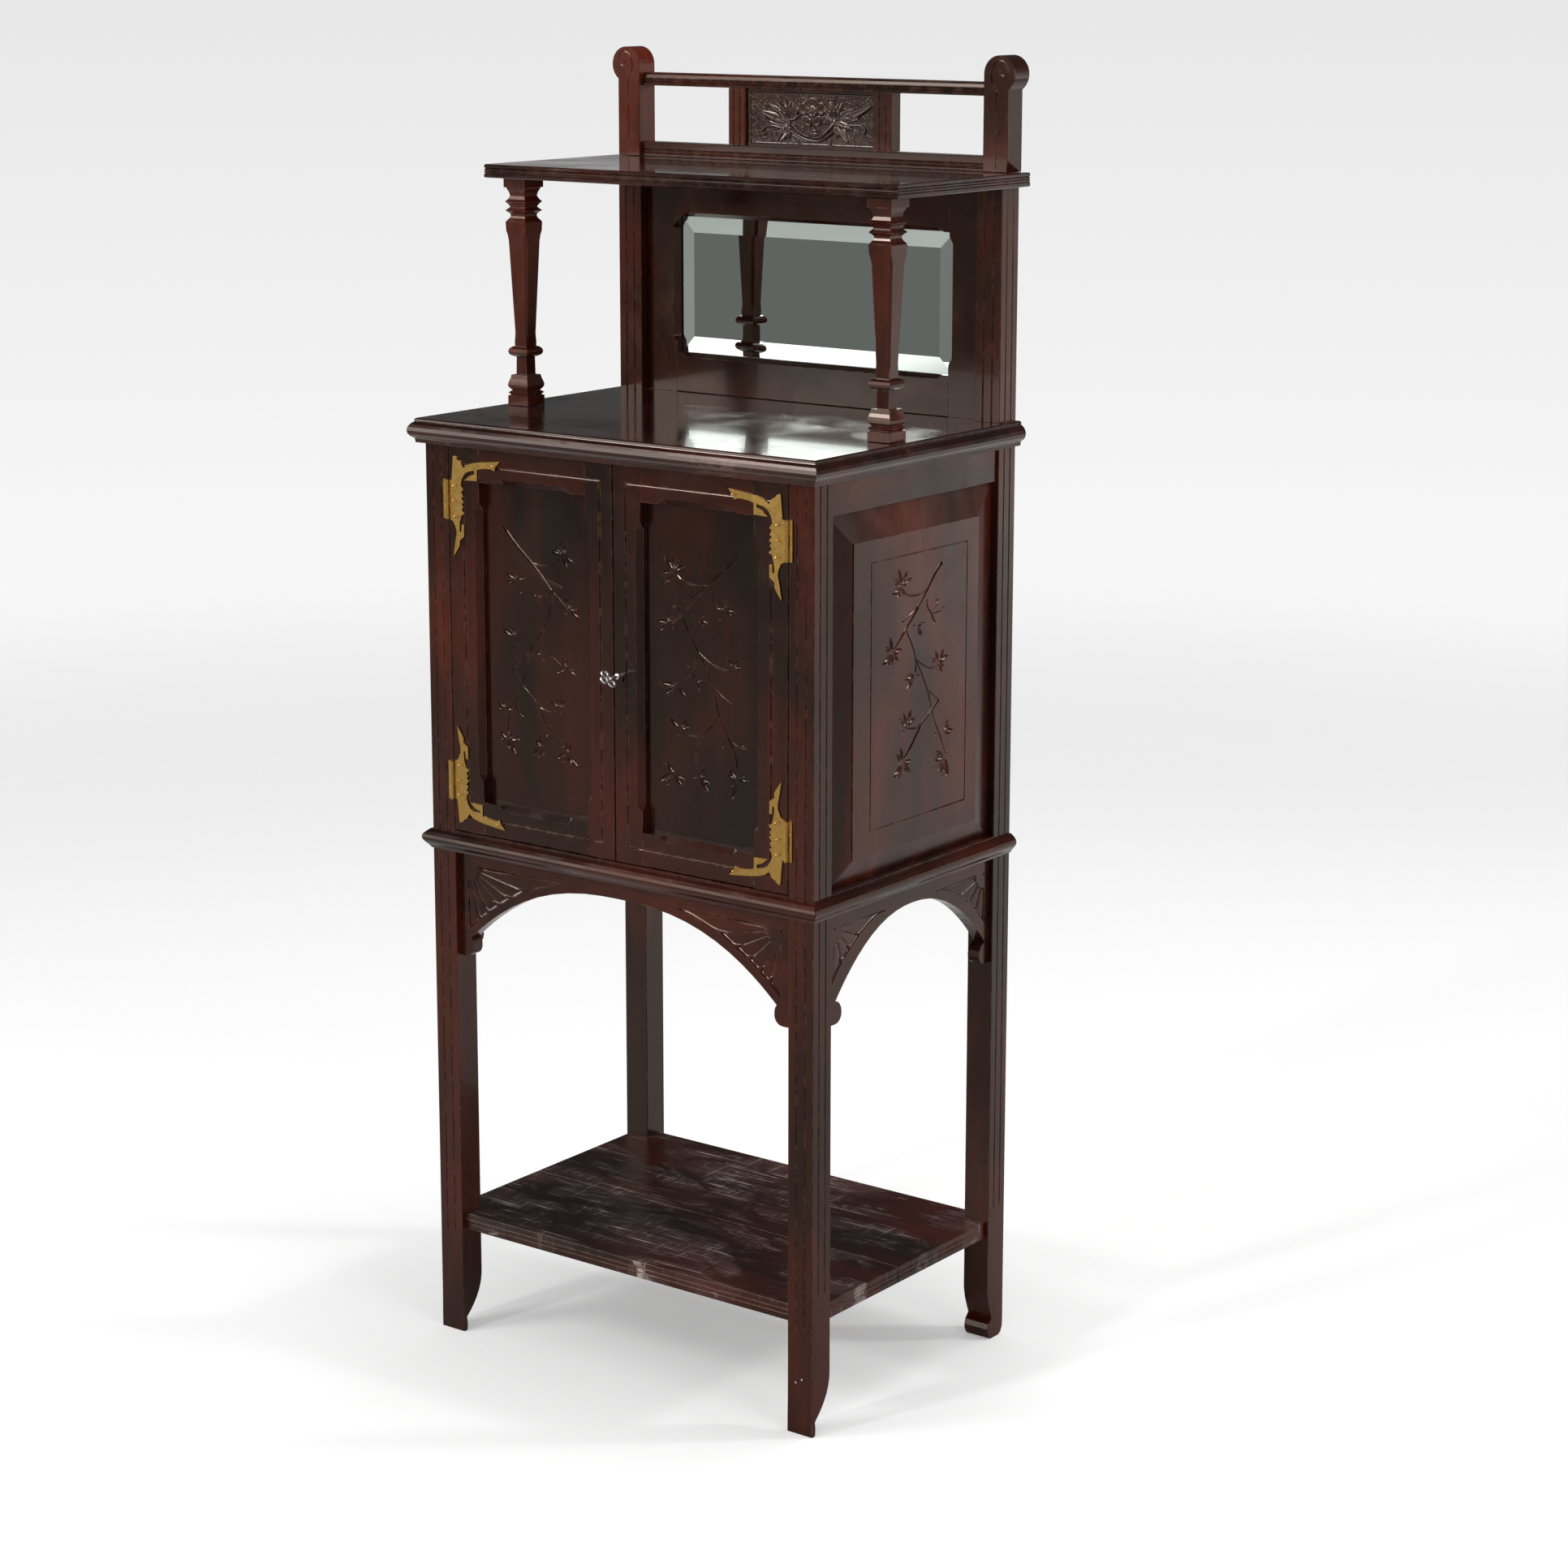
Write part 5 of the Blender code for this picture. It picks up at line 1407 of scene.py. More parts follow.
FRONT_FAN = Fan(
    hub=(226.5, 577.0), hub_radius=16.4,
    rays=((82, 578.0), (150, 562.2), (171, 551), (186, 540), (200, 529), (212.5, 520), (225, 501)),
    rim=((81, 578.2), (95, 575), (110, 570.5), (125, 565.5), (141, 560), (150, 555), (157, 550.5),
         (171, 543), (186, 533), (199, 523.5), (212, 513), (225.5, 500.5)),
)
FLANK_FAN = Fan(
    hub=(148.6, 577.3), hub_radius=16.0,
    rays=((52, 577.5), (103, 561), (120, 549.5), (135, 537.5), (153, 515)),
    rim=((51, 577.7), (70, 574.5), (85, 569), (100, 561), (112, 553), (122, 546), (132, 537.5),
         (142, 527.5), (153.5, 514.5)),
    notch=0.08,
)


@dataclass
class Doors:
    """The two panelled doors: carved panels and an incised line round each frame.

    The line's places are in millimetres: from the cabinet's middle, and above the floor.
    """

    shop: Workshop
    line_out: float = 219.0
    line_in: float = 18.6
    line_top: float = 1051.4
    line_foot: float = 640.4
    line_width: float = 2.3
    sprays: dict[Side, Spray] = field(
        default_factory=lambda: {Side.LEFT: LEFT_DOOR_SPRAY, Side.RIGHT: RIGHT_DOOR_SPRAY}
    )

    def carve(self) -> None:
        """Carves both doors."""
        for side in Side:
            self.carve_panel(side)
            self.carve_frame(side)

    def carve_panel(self, side: Side) -> None:
        """Carves a spray in one door's panel.

        Args:
            side: Which door.
        """
        node = f"door_{side.word}_panel"
        material = self.shop.finishes.panel
        face = CarvedFace.front(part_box(node)[0].y)
        cuts = self.sprays[side].cutters(self.shop, face, material)
        self.shop.carve(node, cuts, material, f"{side.word}_door")

    def carve_frame(self, side: Side) -> None:
        """Cuts the incised line that runs round one door's frame.

        Args:
            side: Which door.
        """
        outer, inner = side.value * self.line_out, side.value * self.line_in
        radius = self.line_width / WIDTH_OVER_RADIUS
        top = [(outer, self.line_top), (inner, self.line_top)]
        foot = [(inner, self.line_foot), (outer, self.line_foot)]
        whole = (top, [top[1], foot[0]], foot, [foot[1], top[0]])
        lines = {"hinge_stile": whole, "meeting_stile": whole, "top_rail": (top,), "bottom_rail": (foot,)}
        for part, edges in lines.items():
            node = f"door_{side.word}_{part}"
            face = CarvedFace.front(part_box(node)[0].y)
            grain = Grain.ALONG_X if part.endswith("rail") else Grain.ALONG_Z
            material = self.shop.finishes.frame[grain]
            cutter = self.shop.stroke_mesh([face.line(edge, radius) for edge in edges], material)
            self.shop.carve(node, [cutter], material, f"{side.word}_door")


@dataclass
class Flanks:
    """The fielded side panels, each with a spray inside an incised border.

    The middle is in metres, and the border's near, far, foot and head lines are in millimetres.
    """

    shop: Workshop
    middle: float = 0.019
    border: tuple[float, float, float, float] = (-88.0, 97.5, 677.0, 975.5)
    line_radius: float = 0.95

    def carve(self) -> None:
        """Carves both side panels."""
        material = self.shop.finishes.polished
        near, far, foot, head = self.border
        corners = [(near, foot), (far, foot), (far, head), (near, head)]
        edges = list(zip(corners, corners[1:] + corners[:1]))
        for side in Side:
            node = f"side_panel_{side.word}"
            face = CarvedFace.flank(side, node, self.middle)
            cuts = [self.shop.stroke_mesh([face.line(edge, self.line_radius) for edge in edges], material)]
            cuts += FLANK_SPRAY.cutters(self.shop, face, material)
            self.shop.carve(node, cuts, material, "case")


@dataclass
class Aprons:
    """The arched aprons, with a fan in each corner.

    The mirror lines between two fans are in millimetres, and the sides' middle is in metres.
    """

    shop: Workshop
    front_mirror: float = -1.85
    flank_mirror: float = 1.5
    middle: float = 0.019

    def carve(self) -> None:
        """Carves the three aprons."""
        face = CarvedFace.front(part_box("apron_front")[0].y)
        self.carve_one("apron_front", face, FRONT_FAN, self.front_mirror, Grain.ALONG_X)
        for side in Side:
            node = f"apron_{side.word}"
            face = CarvedFace.flank(side, node, self.middle)
            self.carve_one(node, face, FLANK_FAN, self.flank_mirror, Grain.ALONG_Y)

    def carve_one(self, node: str, face: CarvedFace, fan: Fan, mirror: float, grain: Grain) -> None:
        """Carves one apron.

        Args:
            node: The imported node.
            face: Its outer face.
            fan: The fan in one corner, which is mirrored for the other.
            mirror: Where the mirror line is, along the apron.
            grain: The fibres' direction.
        """
        material = self.shop.finishes.rubbed[grain]
        cuts = fan.cutters(self.shop, face, material)
        cuts += fan.mirrored(mirror).cutters(self.shop, face, material)
        self.shop.carve(node, cuts, material, "case")


# Gallery


@dataclass(frozen=True)
class Leaf:
    """One carved leaf or petal, from its base to its tip, in millimetres on the panel."""

    base: Point
    tip: Point
    width: float
    bend: float = 0.0
    height: float = 2.2
    hollow: float = 0.9

    def heights(self, x: np.ndarray, z: np.ndarray) -> np.ndarray:
        """Its height over the ground at each point of the panel.

        Args:
            x: Positions along the panel.
            z: Heights on the panel.

        Returns:
            Millimetres of relief, 0 outside the leaf.
        """
        du, dv = self.tip[0] - self.base[0], self.tip[1] - self.base[1]
        length = math.hypot(du, dv)
        du, dv = du / length, dv / length
        along = ((x - self.base[0]) * du + (z - self.base[1]) * dv) / length
        inside = np.clip(along, 0.0, 1.0)
        across = -(x - self.base[0]) * dv + (z - self.base[1]) * du
        across = across - self.bend * np.sin(math.pi * inside)
        half = 0.5 * self.width * np.sin(math.pi * np.clip(inside ** 0.72, 0.0, 1.0)) ** 0.8 + 1e-6
        share = np.abs(across) / half
        shown = (along > 0.0) & (along < 1.0) & (share < 1.0)
        rise = self.height * (0.62 + 0.38 * np.sin(math.pi * np.clip(inside * 0.95, 0, 1)))
        body = rise * (1.0 - share ** 2) ** 0.45 * (1.0 - self.hollow * 0.55 * np.exp(-(share / 0.45) ** 2))
        vein = 0.35 * np.exp(-((across / 0.45) ** 2)) * (1.0 - inside)
        return np.where(shown, np.maximum(body - vein, 0.0), 0.0)


@dataclass(frozen=True)
class Bead:
    """A rounded petal or boss, as an ellipse with a hollow inside its raised rim."""

    centre: Point
    size: Point
    height: float
    cup: float = 0.5
    turn: float = 0.0

    def heights(self, x: np.ndarray, z: np.ndarray) -> np.ndarray:
        """Its height over the ground at each point of the panel.

        Args:
            x: Positions along the panel.
            z: Heights on the panel.

        Returns:
            Millimetres of relief, 0 outside it.
        """
        a = math.radians(self.turn)
        u = (x - self.centre[0]) * math.cos(a) + (z - self.centre[1]) * math.sin(a)
        v = -(x - self.centre[0]) * math.sin(a) + (z - self.centre[1]) * math.cos(a)
        share = (u / self.size[0]) ** 2 + (v / self.size[1]) ** 2
        body = self.height * np.clip(1.0 - share, 0.0, 1.0) ** 0.28
        return np.maximum(body - self.cup * np.exp(-((share / 0.55) ** 2)), 0.0) * (share < 1.0)


@dataclass(frozen=True)
class Ribbon:
    """A long stalk or ribbon that follows a line."""

    points: tuple[Point, ...]
    width: float
    height: float = 1.8
    end_width: float = 1.0

    def heights(self, x: np.ndarray, z: np.ndarray) -> np.ndarray:
        """Its height over the ground at each point of the panel.

        Args:
            x: Positions along the panel.
            z: Heights on the panel.

        Returns:
            Millimetres of relief, 0 outside it.
        """
        line = smooth_path(self.points, steps=4)
        best = np.zeros_like(x)
        count = len(line) - 1
        for k in range(count):
            (x0, z0), (x1, z1) = line[k], line[k + 1]
            ex, ez = x1 - x0, z1 - z0
            t = np.clip(((x - x0) * ex + (z - z0) * ez) / max(ex * ex + ez * ez, 1e-9), 0.0, 1.0)
            away = np.hypot(x - x0 - ex * t, z - z0 - ez * t)
            share = (k + 0.5) / count
            half = 0.5 * (self.width + (self.end_width - self.width) * share)
            best = np.maximum(best, self.height * np.sqrt(np.clip(1.0 - (away / half) ** 2, 0.0, 1.0)))
        return best


GALLERY_FLOWER = (
    Bead((0.8, 1449.6), (10.5, 6.6), 2.2, 1.15), Bead((-11.5, 1443), (7.6, 7.6), 2.05, 1.1, 25.0),
    Bead((13.5, 1443.5), (7.6, 7.6), 2.05, 1.1, -25.0), Bead((-6.0, 1428.8), (7.8, 5.8), 2.1, 0.9, -38.0),
    Bead((8.5, 1429.2), (7.8, 5.8), 2.1, 0.9, 38.0), Bead((1.0, 1438.8), (7.6, 8.4), 2.42, 1.2),
    Bead((0.2, 1435.2), (3.0, 2.6), 2.40, 0.0), Bead((4.0, 1418.2), (4.6, 1.7), 1.9, 0.2),
    Bead((4.6, 1414.6), (5.2, 1.7), 1.9, 0.2), Bead((26, 1406), (3.4, 3.0), 1.8, 0.8),
    Bead((-17, 1404.8), (4.2, 2.0), 1.3, 0.4),
)
GALLERY_LEAVES = (
    Leaf((-31, 1427), (-75, 1440), 14.0, 1.5, 2.4, 0.5), Leaf((-31, 1428), (-62, 1448), 10.5, -1.0, 2.3, 0.4),
    Leaf((-32, 1429), (-50, 1450), 8.0, -0.5, 2.1, 0.4), Leaf((-32, 1428), (-39, 1453), 10.0, -1.5, 2.3, 0.5),
    Leaf((-31, 1427), (-26, 1454), 15.0, 0.5, 2.4, 0.9), Leaf((-30, 1431), (-17, 1448), 9.0, -1.0, 1.9, 0.4),
    Leaf((-28, 1430), (-15, 1435.5), 5.2, 0.5, 2.0, 0.3), Leaf((-32, 1427), (-62, 1428), 11.0, 1.0, 2.0, 0.5),
    Leaf((-33, 1427), (-47, 1404), 15.0, 1.5, 2.3, 1.2), Leaf((-31, 1426), (-32, 1408), 10.0, -1.5, 2.1, 1.0),
    Leaf((35, 1429), (87, 1449), 12.0, -1.0, 2.4, 0.5), Leaf((35, 1429), (62, 1445), 11.0, 1.5, 2.0, 0.4),
    Leaf((36, 1429), (69, 1433), 8.0, 1.0, 2.1, 0.4), Leaf((36, 1428), (59, 1421), 9.5, 0.5, 2.1, 0.4),
    Leaf((34, 1429), (44, 1453), 12.5, 1.5, 2.3, 0.8), Leaf((33, 1429), (28, 1455), 14.0, -1.0, 2.4, 0.9),
    Leaf((32, 1430), (18, 1448), 9.0, 1.0, 1.9, 0.4), Leaf((31, 1430), (18, 1434.8), 5.4, -0.5, 2.0, 0.3),
    Leaf((35, 1428), (53, 1405), 13.0, 1.0, 2.3, 1.2), Leaf((34, 1427), (37, 1410), 9.0, 0.5, 2.0, 0.9),
)
GALLERY_RIBBONS = (
    Ribbon(((-27, 1424), (-15, 1415.5), (-2, 1410.5)), 4.2, 2.0, 2.2),
    Ribbon(((-29, 1417), (-13, 1410), (3, 1406.5), (17, 1408.5), (31, 1417)), 3.6, 2.2, 3.2),
    Ribbon(((-27, 1413), (-14, 1407.5), (-4, 1405.8)), 2.4, 1.6, 1.6),
    Ribbon(((0, 1409.5), (14, 1412), (24, 1419), (33, 1427)), 2.6, 2.1, 5.0),
    Ribbon(((-45, 1420), (-57, 1422.5), (-67, 1419.5), (-71, 1415), (-69, 1411.5), (-66, 1413)),
           3.6, 1.9, 2.0),
    Ribbon(((45, 1426.5), (59, 1426), (71, 1426), (77, 1422), (76, 1418), (72, 1418.5)), 3.4, 1.9, 2.0),
    Ribbon(((-31, 1430), (-31, 1423)), 5.0, 2.3, 4.0), Ribbon(((33, 1431), (35, 1425)), 5.0, 2.3, 4.0),
)


@dataclass
class Gallery:
    """The shaped gallery: the carved flower panel and the scroll ends. Sizes are in millimetres."""

    shop: Workshop
    step: float = 0.5
    ground: float = 2.5
    border: float = 3.2
    groove: float = 0.28
    groove_limit: float = 1.2
    heart: Point = (1.0, 1438.3)
    heart_radii: Point = (2.6, 7.2)
    swirl: float = 0.30
    swirl_pitch: float = 1.15
    pits_per_metre: float = 820.0
    pit_depth: float = 0.5
    pit_seed: float = 3.0
    scroll_radius: float = 20.8
    curl: tuple[Point, ...] = (
        (-0.16, -0.90), (-0.36, -0.60), (-0.49, -0.18), (-0.45, 0.28), (-0.22, 0.62), (0.10, 0.74),
        (0.38, 0.60), (0.50, 0.30), (0.42, 0.04), (0.22, -0.06), (0.06, 0.06), (0.08, 0.22),
    )
    stem_out: float = 263.4
    stem_gap: float = 19.5

    def carve(self) -> None:
        """Makes the flower panel and carves the scroll ends."""
        self.flower_panel()
        for side in Side:
            self.scroll_end(side)

    def relief(self, x: np.ndarray, z: np.ndarray) -> np.ndarray:
        """Works out the panel's relief: leaves and ribbons, the flower with its heart, and the border.

        Args:
            x: Positions along the panel.
            z: Heights on the panel.

        Returns:
            Millimetres over the ground.
        """
        relief = np.zeros_like(x)
        for shape in (*GALLERY_RIBBONS, *GALLERY_LEAVES, *GALLERY_FLOWER):
            own = shape.heights(x, z)
            near = np.minimum(own, relief)
            relief = np.maximum(own, relief) - self.groove * np.clip(near, 0.0, self.groove_limit)
        dx, dz = x - self.heart[0], z - self.heart[1]
        inner, outer = self.heart_radii
        away = np.hypot(dx, dz)
        swirl = self.swirl * np.cos(np.arctan2(dz, dx) - away * self.swirl_pitch)
        relief += np.where((away < outer) & (away > inner), swirl * (away / outer), 0.0)
        relief = np.clip(relief, 0.0, self.ground - 0.05)
        inset = np.minimum(np.minimum(x - x.min(), x.max() - x), np.minimum(z - z.min(), z.max() - z))
        rise = np.clip(self.border + 1.0 - inset, 0.0, 1.0)
        rise = rise * rise * (3 - 2 * rise) * (self.ground - 0.1)
        return np.maximum(relief, rise)

    def flower_panel(self) -> None:
        """Makes the relief panel: flower, leaves and ribbons over a punched ground."""
        low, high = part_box("gallery_panel")
        columns = int(round((high.x - low.x) / (self.step * MM))) + 1
        rows = int(round((high.z - low.z) / (self.step * MM))) + 1
        x, z = np.meshgrid(np.linspace(low.x, high.x, columns) / MM, np.linspace(low.z, high.z, rows) / MM)
        up = self.relief(x, z)
        front = np.stack([x * MM, low.y + (self.ground - up) * MM, z * MM], axis=-1).reshape(-1, 3)
        index = np.arange(x.size).reshape(rows, columns)
        corners = [index[:-1, :-1], index[:-1, 1:], index[1:, 1:], index[1:, :-1]]
        faces = np.stack(corners, axis=-1).reshape(-1, 4).tolist()
        rim = [int(n) for n in (*index[0, :], *index[1:, -1], *index[-1, -2::-1], *index[-2:0:-1, 0])]
        back = front[rim].copy()
        back[:, 1] = high.y
        for k, (a, b) in enumerate(zip(rim, rim[1:] + rim[:1])):
            faces.append([b, a, x.size + k, x.size + (k + 1) % len(rim)])
        faces.append([x.size + k for k in range(len(rim))])
        mesh = mesh_from("flower_panel", np.concatenate([front, back]).tolist(), [], faces)
        open_ground = np.clip(1.0 - up / 0.25, 0.0, 1.0).reshape(-1)
        open_ground[rim] = 0.0
        mark = mesh.attributes.new("ground", "FLOAT", "POINT")
        mark.data.foreach_set("value", np.concatenate([open_ground, np.zeros(len(rim))]))
        made = face_outward(self.shop.stipple.run(
            new_object("flower_panel", mesh), "flower_panel", Finish=self.shop.finishes.relief,
            Depth=self.pit_depth * MM, Pits_per_metre=self.pits_per_metre, Seed=self.pit_seed,
        ))
        soften(made, crease=38.0)
        panel = new_object("carved_gallery_panel", made)
        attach(panel, "case")
        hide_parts("gallery_panel")
        LOG.info("flower panel: %d faces", len(made.polygons))

    def scroll_end(self, side: Side) -> None:
        """Carves the spiral of one scroll end and the line below it.

        Args:
            side: Which end of the gallery.
        """
        node = f"gallery_post_{side.word}"
        low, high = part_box(node)
        face = CarvedFace.front(low.y)
        size = self.scroll_radius
        across, up = max(abs(low.x), abs(high.x)) / MM - size, high.z / MM - size
        line = smooth_path([(u * size, v * size) for u, v in self.curl], steps=4)
        spiral = []
        for k, (u, v) in enumerate(line):
            radius = 1.25 - 0.35 * k / (len(line) - 1)
            spiral += face.line([(side.value * (across + u), up + v)], radius)
        foot = low.z / MM
        levels = ((foot + 4, 0.75), (foot + 45, 0.85), (up - self.stem_gap, 0.85))
        stem = [
            (face.place(side.value * self.stem_out, height, 0.0), radius * MM) for height, radius in levels
        ]
        material = self.shop.finishes.lively
        cuts = [self.shop.stroke_mesh([spiral, stem], material)]
        self.shop.carve(node, cuts, material, "case", curved=True)


# Hardware


@dataclass
class Hardware:
    """The pin heads on the hinges and the nails in the front foot. Sizes are in millimetres."""

    shop: Workshop
    hinge_middle: float = 846.0
    axis: float = 241.5
    pins: tuple[Point, ...] = ((11.8, 1026.7), (11.4, 1009.9), (12.8, 991.5), (71.1, 1054.1))
    pin_size: Triple = (1.55, 0.85, 1.55)
    pin_lift: float = 0.05
    nails: tuple[Point, ...] = ((0.34, 60.5), (0.58, 65.5))
    nail_size: Triple = (1.5, 0.45, 1.5)

    def fit(self) -> None:
        """Makes the pins of each hinge leaf and the nails of the front foot."""
        pattern = new_object("pin_head", self.head_mesh(9, 3))
        for side in Side:
            for level in ("upper", "lower"):
                self.pin_heads(pattern, side, level)
        self.foot_nails(pattern)
        drop(pattern)

    def pin_heads(self, pattern: bpy.types.Object, side: Side, level: str) -> None:
        """Makes the pin heads of one hinge's door leaf.

        Args:
            pattern: The head's object.
            side: Which door.
            level: "upper" or "lower". The lower leaf mirrors the upper one.
        """
        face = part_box(f"hinge_{level}_{side.word}_door_leaf")[0].y + self.pin_lift * MM
        size = tuple(length * MM for length in self.pin_size)
        places = []
        for inward, up in self.pins:
            height = up if level == "upper" else 2 * self.hinge_middle - up
            spot = Vector((side.value * (self.axis - inward) * MM, face, height * MM))
            places.append((spot, (0.0, 0.7 * inward, 0.0), size))
        mesh = self.shop.scatter_mesh(pattern, places, self.shop.finishes.brass)
        self.finish(mesh, f"hinge_pins_{level}_{side.word}", f"{side.word}_door", "brass")

    def foot_nails(self, pattern: bpy.types.Object) -> None:
        """Makes the two nails, each placed as (share of the leg's width, height).

        Args:
            pattern: The head's object.
        """
        low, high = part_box("leg_front_right")
        size = tuple(length * MM for length in self.nail_size)
        places = []
        for across, up in self.nails:
            x = low.x + (high.x - low.x) * across
            spot = Vector((x, self.face_at("leg_front_right", x, up * MM), up * MM))
            places.append((spot, (0.0, 0.0, 0.0), size))
        mesh = self.shop.scatter_mesh(pattern, places, self.shop.finishes.nail)
        self.finish(mesh, "foot_nails", "case", "steel")

    def finish(self, mesh: bpy.types.Mesh, name: str, body: str, slot: str) -> None:
        """Turns a mesh into a finished piece on a body.

        Args:
            mesh: The mesh.
            name: The piece's name.
            body: What it rides on.
            slot: Not used.
        """
        soften(mesh, crease=50.0)
        piece = new_object(name, mesh)
        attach(piece, body)
        LOG.info("%s: %d faces", name, len(mesh.polygons))

    @staticmethod
    def face_at(node: str, x: float, z: float) -> float:
        """Finds a node's front surface at one place.

        Args:
            node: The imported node.
            x: Place across.
            z: Height.

        Returns:
            The Y of its surface.
        """
        solid = frame["nodes"][node]
        hit, spot, _, _ = solid.ray_cast(Vector((x, -1.0, z)), Vector((0.0, 1.0, 0.0)))
        return spot.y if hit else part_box(node)[0].y

    @staticmethod
    def head_mesh(sides: int, rings: int) -> bpy.types.Mesh:
        """Makes a domed head of unit radius and unit height that faces -Y, closed behind.

        Args:
            sides: Facets round it.
            rings: Rings of the dome.

        Returns:
            The mesh.
        """
        verts = [(0.0, -1.0, 0.0)]
        for i in range(1, rings + 1):
            a = 0.5 * math.pi * i / rings
            for k in range(sides):
                b = math.tau * k / sides
                verts.append((math.sin(a) * math.cos(b), -math.cos(a), math.sin(a) * math.sin(b)))
        last = len(verts)
        verts += [(x, 0.6, z) for x, _, z in verts[-sides:]]
        faces = [(0, 1 + k, 1 + (k + 1) % sides) for k in range(sides)]
        for i in range(rings):
            first = 1 + i * sides
            for k in range(sides):
                n = (k + 1) % sides
                faces.append((first + k, first + sides + k, first + sides + n, first + n))
        faces.append(tuple(last + k for k in range(sides)))
        return face_outward(mesh_from("pin_head", verts, [], faces))


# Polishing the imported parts


@dataclass(frozen=True)
class Polish:
    """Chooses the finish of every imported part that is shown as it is."""

    finishes: Finishes

    def apply(self) -> None:
        """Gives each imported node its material."""
        for name, node in frame["nodes"].items():
            material = self.choose(name)
            if not node.material_slots:
                node.data.materials.append(material)
            for place in node.material_slots:
                place.material = material
        LOG.info("polished %d parts", len(frame["nodes"]))

    def choose(self, name: str) -> bpy.types.Material:
        """Chooses the finish for a node by the first rule whose words begin its name.

        Args:
            name: The node's name.

        Returns:
            The material.
        """
        f = self.finishes
        rules = (
            (("hinge_", "lock_bolt", "drop_bolt"), f.brass),
            (("lock_case", "key"), f.steel),
            (("mirror_glass",), f.mirror),
            (("back_panel", "mirror_backing"), f.backing),
            (("lower_shelf",), f.shelf),
            (("top_board", "upper_shelf"), f.board),
            (("mirror_stile",), f.frame[Grain.ALONG_Z]),
            (("mirror_rail",), f.frame[Grain.ALONG_X]),
            (("baluster",), f.lively),
            (("leg", "upper_post", "gallery_muntin"), f.rubbed[Grain.ALONG_Z]),
            (("waist_moulding_left", "waist_moulding_right", "side_rail"), f.rubbed[Grain.ALONG_Y]),
        )
        for words, material in rules:
            if name.startswith(words):
                return material
        return f.rubbed[Grain.ALONG_X]


# Studio


@dataclass(frozen=True)
class Lamp:
    """One soft area lamp."""

    name: str
    place: Triple
    target: Triple
    size: Point
    watts: float

    def hang(self) -> None:
        """Adds the lamp to the scene."""
        light = bpy.data.lights.new(self.name, "AREA")
        light.shape = "RECTANGLE"
        light.size, light.size_y = self.size
        light.energy = self.watts
        made = bpy.data.objects.new(self.name, light)
        made.location = self.place
        made.rotation_euler = (Vector(self.target) - Vector(self.place)).to_track_quat("-Z", "Y").to_euler()
        bpy.context.scene.collection.objects.link(made)


@dataclass(frozen=True)
class Window:
    """A soft bright patch of the surroundings that gloss picks up.

    It is full bright up to its inner half-angle and fades out at the outer one, in degrees.
    """

    toward: Triple
    outer: float
    inner: float
    light: float


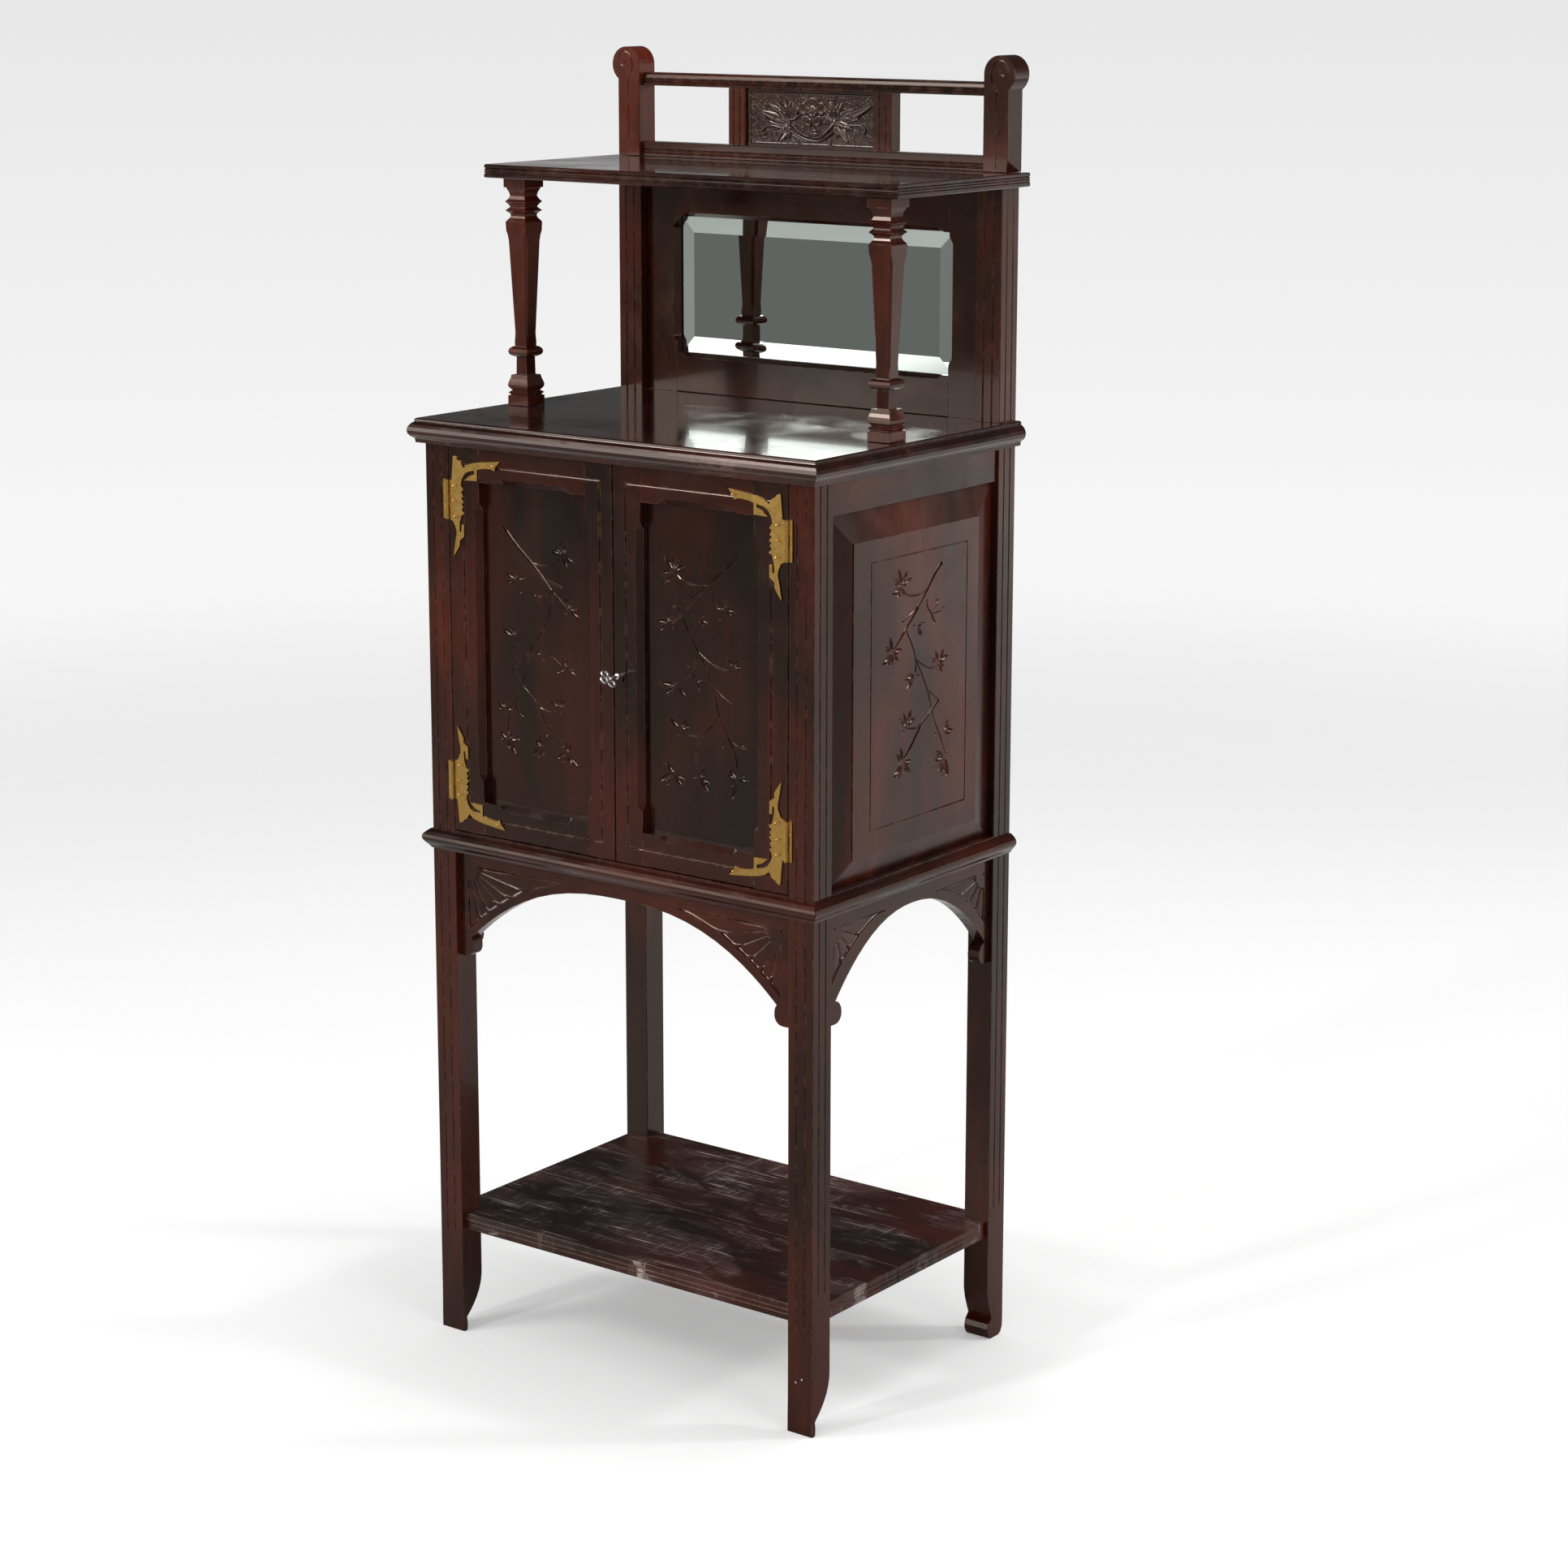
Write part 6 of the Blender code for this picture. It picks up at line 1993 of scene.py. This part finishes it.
@dataclass
class Studio:
    """Pale floor, pale surroundings, soft lamps and the camera.

    Levels of the surroundings go with how far a direction points up, as its Z.
    """

    floor_size: float = 13.0
    floor_fade: Point = (2.6, 5.6)
    floor_glow: float = 0.25
    floor_shade: Colour = (0.86, 0.86, 0.86, 1.0)
    front_dim: float = 0.60
    room: Point = (0.52, 0.15)
    room_edge: Point = (-0.215, -0.145)
    backdrop: Point = (0.99, 0.79)
    backdrop_span: Point = (-0.24, 0.0)
    side_level: float = 0.28
    side_edge: Point = (-0.10, -0.04)
    above_level: float = 0.06
    above_edge: Point = (0.02, 0.11)
    behind_edge: Point = (-0.25, 0.30)
    ambient: float = 0.46
    windows: tuple[Window, ...] = (
        Window((-0.602, -0.785, 0.146), 9.5, 5.5, 3.3),
        Window((-0.46, -0.66, 0.594), 15.0, 9.0, 12.0),
        Window((-0.93, -0.30, 0.212), 11.0, 6.0, 8.0),
        Window((-0.20, -0.86, 0.469), 9.0, 5.0, 8.0),
        Window((0.74, 0.28, 0.612), 14.0, 8.0, 9.0),
        Window((0.76, 0.60, 0.25), 8.0, 4.0, 7.0),
        Window((0.49, 0.853, -0.18), 8.0, 2.0, 1.3),
        Window((-0.43, -0.898, -0.09), 7.0, 3.0, 0.17),
        Window((-0.75, -0.655, -0.09), 7.0, 3.0, 0.15),
    )
    lamps: tuple[Lamp, ...] = (
        Lamp("key_lamp", (-2.2, -3.0, 3.2), (0.0, 0.0, 0.8), (1.2, 1.2), 50.0),
        Lamp("spark_lamp", (-0.9, -3.6, 2.0), (0.0, 0.0, 0.9), (0.30, 0.30), 36.0),
        Lamp("side_lamp", (3.2, 2.4, 2.3), (0.2, 0.0, 0.9), (0.4, 0.4), 42.0),
        Lamp("fill_lamp", (3.6, -1.2, 2.0), (0.0, 0.0, 0.8), (1.6, 2.0), 22.0),
        Lamp("top_lamp", (0.6, 0.6, 3.6), (0.0, 0.0, 1.0), (1.8, 1.8), 28.0),
    )
    place: Triple = (2.45876, -3.15197, 1.63312)
    yaw: float = 36.731
    pitch: float = -12.179
    roll: float = 0.066
    lens: float = 81.36
    sensor: float = 36.0
    shift: Point = (-0.0002, -0.05)

    def build(self) -> None:
        """Sets up everything round the object."""
        bpy.context.scene.view_settings.view_transform = "Standard"
        self.floor()
        self.world()
        for lamp in self.lamps:
            lamp.hang()
        self.camera()

    def floor(self) -> None:
        """Lays the floor, which keeps the object's shadow and fades out far from it.

        Gloss sees it darker in front of the object, and the eye sees it a little brighter than it is.
        """
        half = self.floor_size / 2
        corners = [(-half, -half, 0), (half, -half, 0), (half, half, 0), (-half, half, 0)]
        mesh = mesh_from("floor", corners, [], [(0, 1, 2, 3)])
        made = new_object("floor", mesh)
        g = ShaderGraph("pale_floor")
        path = g.add("ShaderNodeLightPath").outputs
        front = g.math("SUBTRACT", 1.0, g.ramp(g.dot(g.coords, AWAY), -0.6, 0.8))
        dim = g.times(g.times(front, path["Is Glossy Ray"]), self.front_dim)
        material = g.dress({
            "Base Color": g.blend(dim, self.floor_shade, (0.0, 0.0, 0.0, 1.0)),
            "Roughness": 0.9, "Specular IOR Level": 0.1, "Emission Color": (1.0, 1.0, 1.0, 1.0),
            "Emission Strength": g.times(path["Is Camera Ray"], self.floor_glow),
        })
        reach = g.add("ShaderNodeVectorMath", {0: g.coords}, operation="LENGTH").outputs["Value"]
        clear = g.add("ShaderNodeBsdfTransparent").outputs[0]
        fading = g.add("ShaderNodeMixShader", {
            0: g.ramp(reach, *self.floor_fade), 1: g.surface.outputs[0], 2: clear,
        })
        g.feed(g.out.inputs["Surface"], fading.outputs[0])
        mesh.materials.append(material)

    def world(self) -> None:
        """Makes the surroundings: a pale backdrop for the eye, walls and windows for gloss, even light."""
        world = bpy.data.worlds.new("studio")
        world.use_nodes = True
        g = NodeTree(world.node_tree)
        g.tree.nodes.clear()
        path = g.add("ShaderNodeLightPath").outputs
        way = g.add("ShaderNodeTexCoord").outputs["Generated"]
        up = g.add("ShaderNodeSeparateXYZ", {0: way}).outputs["Z"]
        windows = 0.0
        for window in self.windows:
            fade = (math.cos(math.radians(window.outer)), math.cos(math.radians(window.inner)))
            windows = g.plus(g.ramp(g.dot(way, window.toward), *fade, 0.0, window.light), windows)
        pale = g.add("ShaderNodeMapRange", {
            "Value": up, "From Min": self.backdrop_span[0], "From Max": self.backdrop_span[1],
            "To Min": self.backdrop[0], "To Max": self.backdrop[1],
        }).outputs["Result"]
        room = g.ramp(up, *self.room_edge, *self.room)
        sweep = g.times(pale, g.ramp(up, *self.above_edge, 1.0, self.above_level))
        sweep = g.ramp(up, *self.side_edge, self.side_level, sweep)
        behind = g.ramp(g.dot(way, AWAY), *self.behind_edge)
        gloss = g.plus(self.between(g, behind, room, sweep), windows)
        shiny = g.math("MAXIMUM", path["Is Glossy Ray"], path["Is Transmission Ray"])
        level = self.between(g, shiny, self.ambient, gloss)
        level = self.between(g, path["Is Camera Ray"], level, pale)
        light = g.add("ShaderNodeBackground", {"Color": (1.0, 1.0, 1.0, 1.0), "Strength": level})
        g.add("ShaderNodeOutputWorld", {"Surface": light.outputs[0]})
        bpy.context.scene.world = world

    @staticmethod
    def between(g: NodeTree, share: Socket, a: object, b: object) -> Socket:
        """Mixes level a towards level b by a share."""
        return g.add("ShaderNodeMix", {0: share, 2: a, 3: b}).outputs[0]

    def camera(self) -> None:
        """Sets the camera at the photograph's viewpoint."""
        data = bpy.data.cameras.new("camera")
        data.sensor_width = self.sensor
        data.sensor_fit = "HORIZONTAL"
        data.lens = self.lens
        data.shift_x, data.shift_y = self.shift
        made = bpy.data.objects.new("camera", data)
        yaw, pitch, roll = (math.radians(v) for v in (self.yaw, self.pitch, self.roll))
        level = math.cos(pitch)
        forward = Vector((-math.sin(yaw) * level, math.cos(yaw) * level, math.sin(pitch)))
        turn = forward.to_track_quat("-Z", "Y").to_matrix() @ Matrix.Rotation(roll, 3, "Z")
        made.matrix_world = Matrix.Translation(self.place) @ turn.to_4x4()
        bpy.context.scene.collection.objects.link(made)
        bpy.context.scene.camera = made


def main() -> None:
    """Dresses the cabinet and sets up the studio."""
    logging.basicConfig(level=logging.INFO, format="%(name)s: %(message)s")
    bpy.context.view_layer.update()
    finishes = Finishes()
    shop = Workshop(finishes)
    Polish(finishes).apply()
    Doors(shop).carve()
    Flanks(shop).carve()
    Aprons(shop).carve()
    Gallery(shop).carve()
    Hardware(shop).fit()
    Studio().build()


if __name__ == "__main__":
    main()
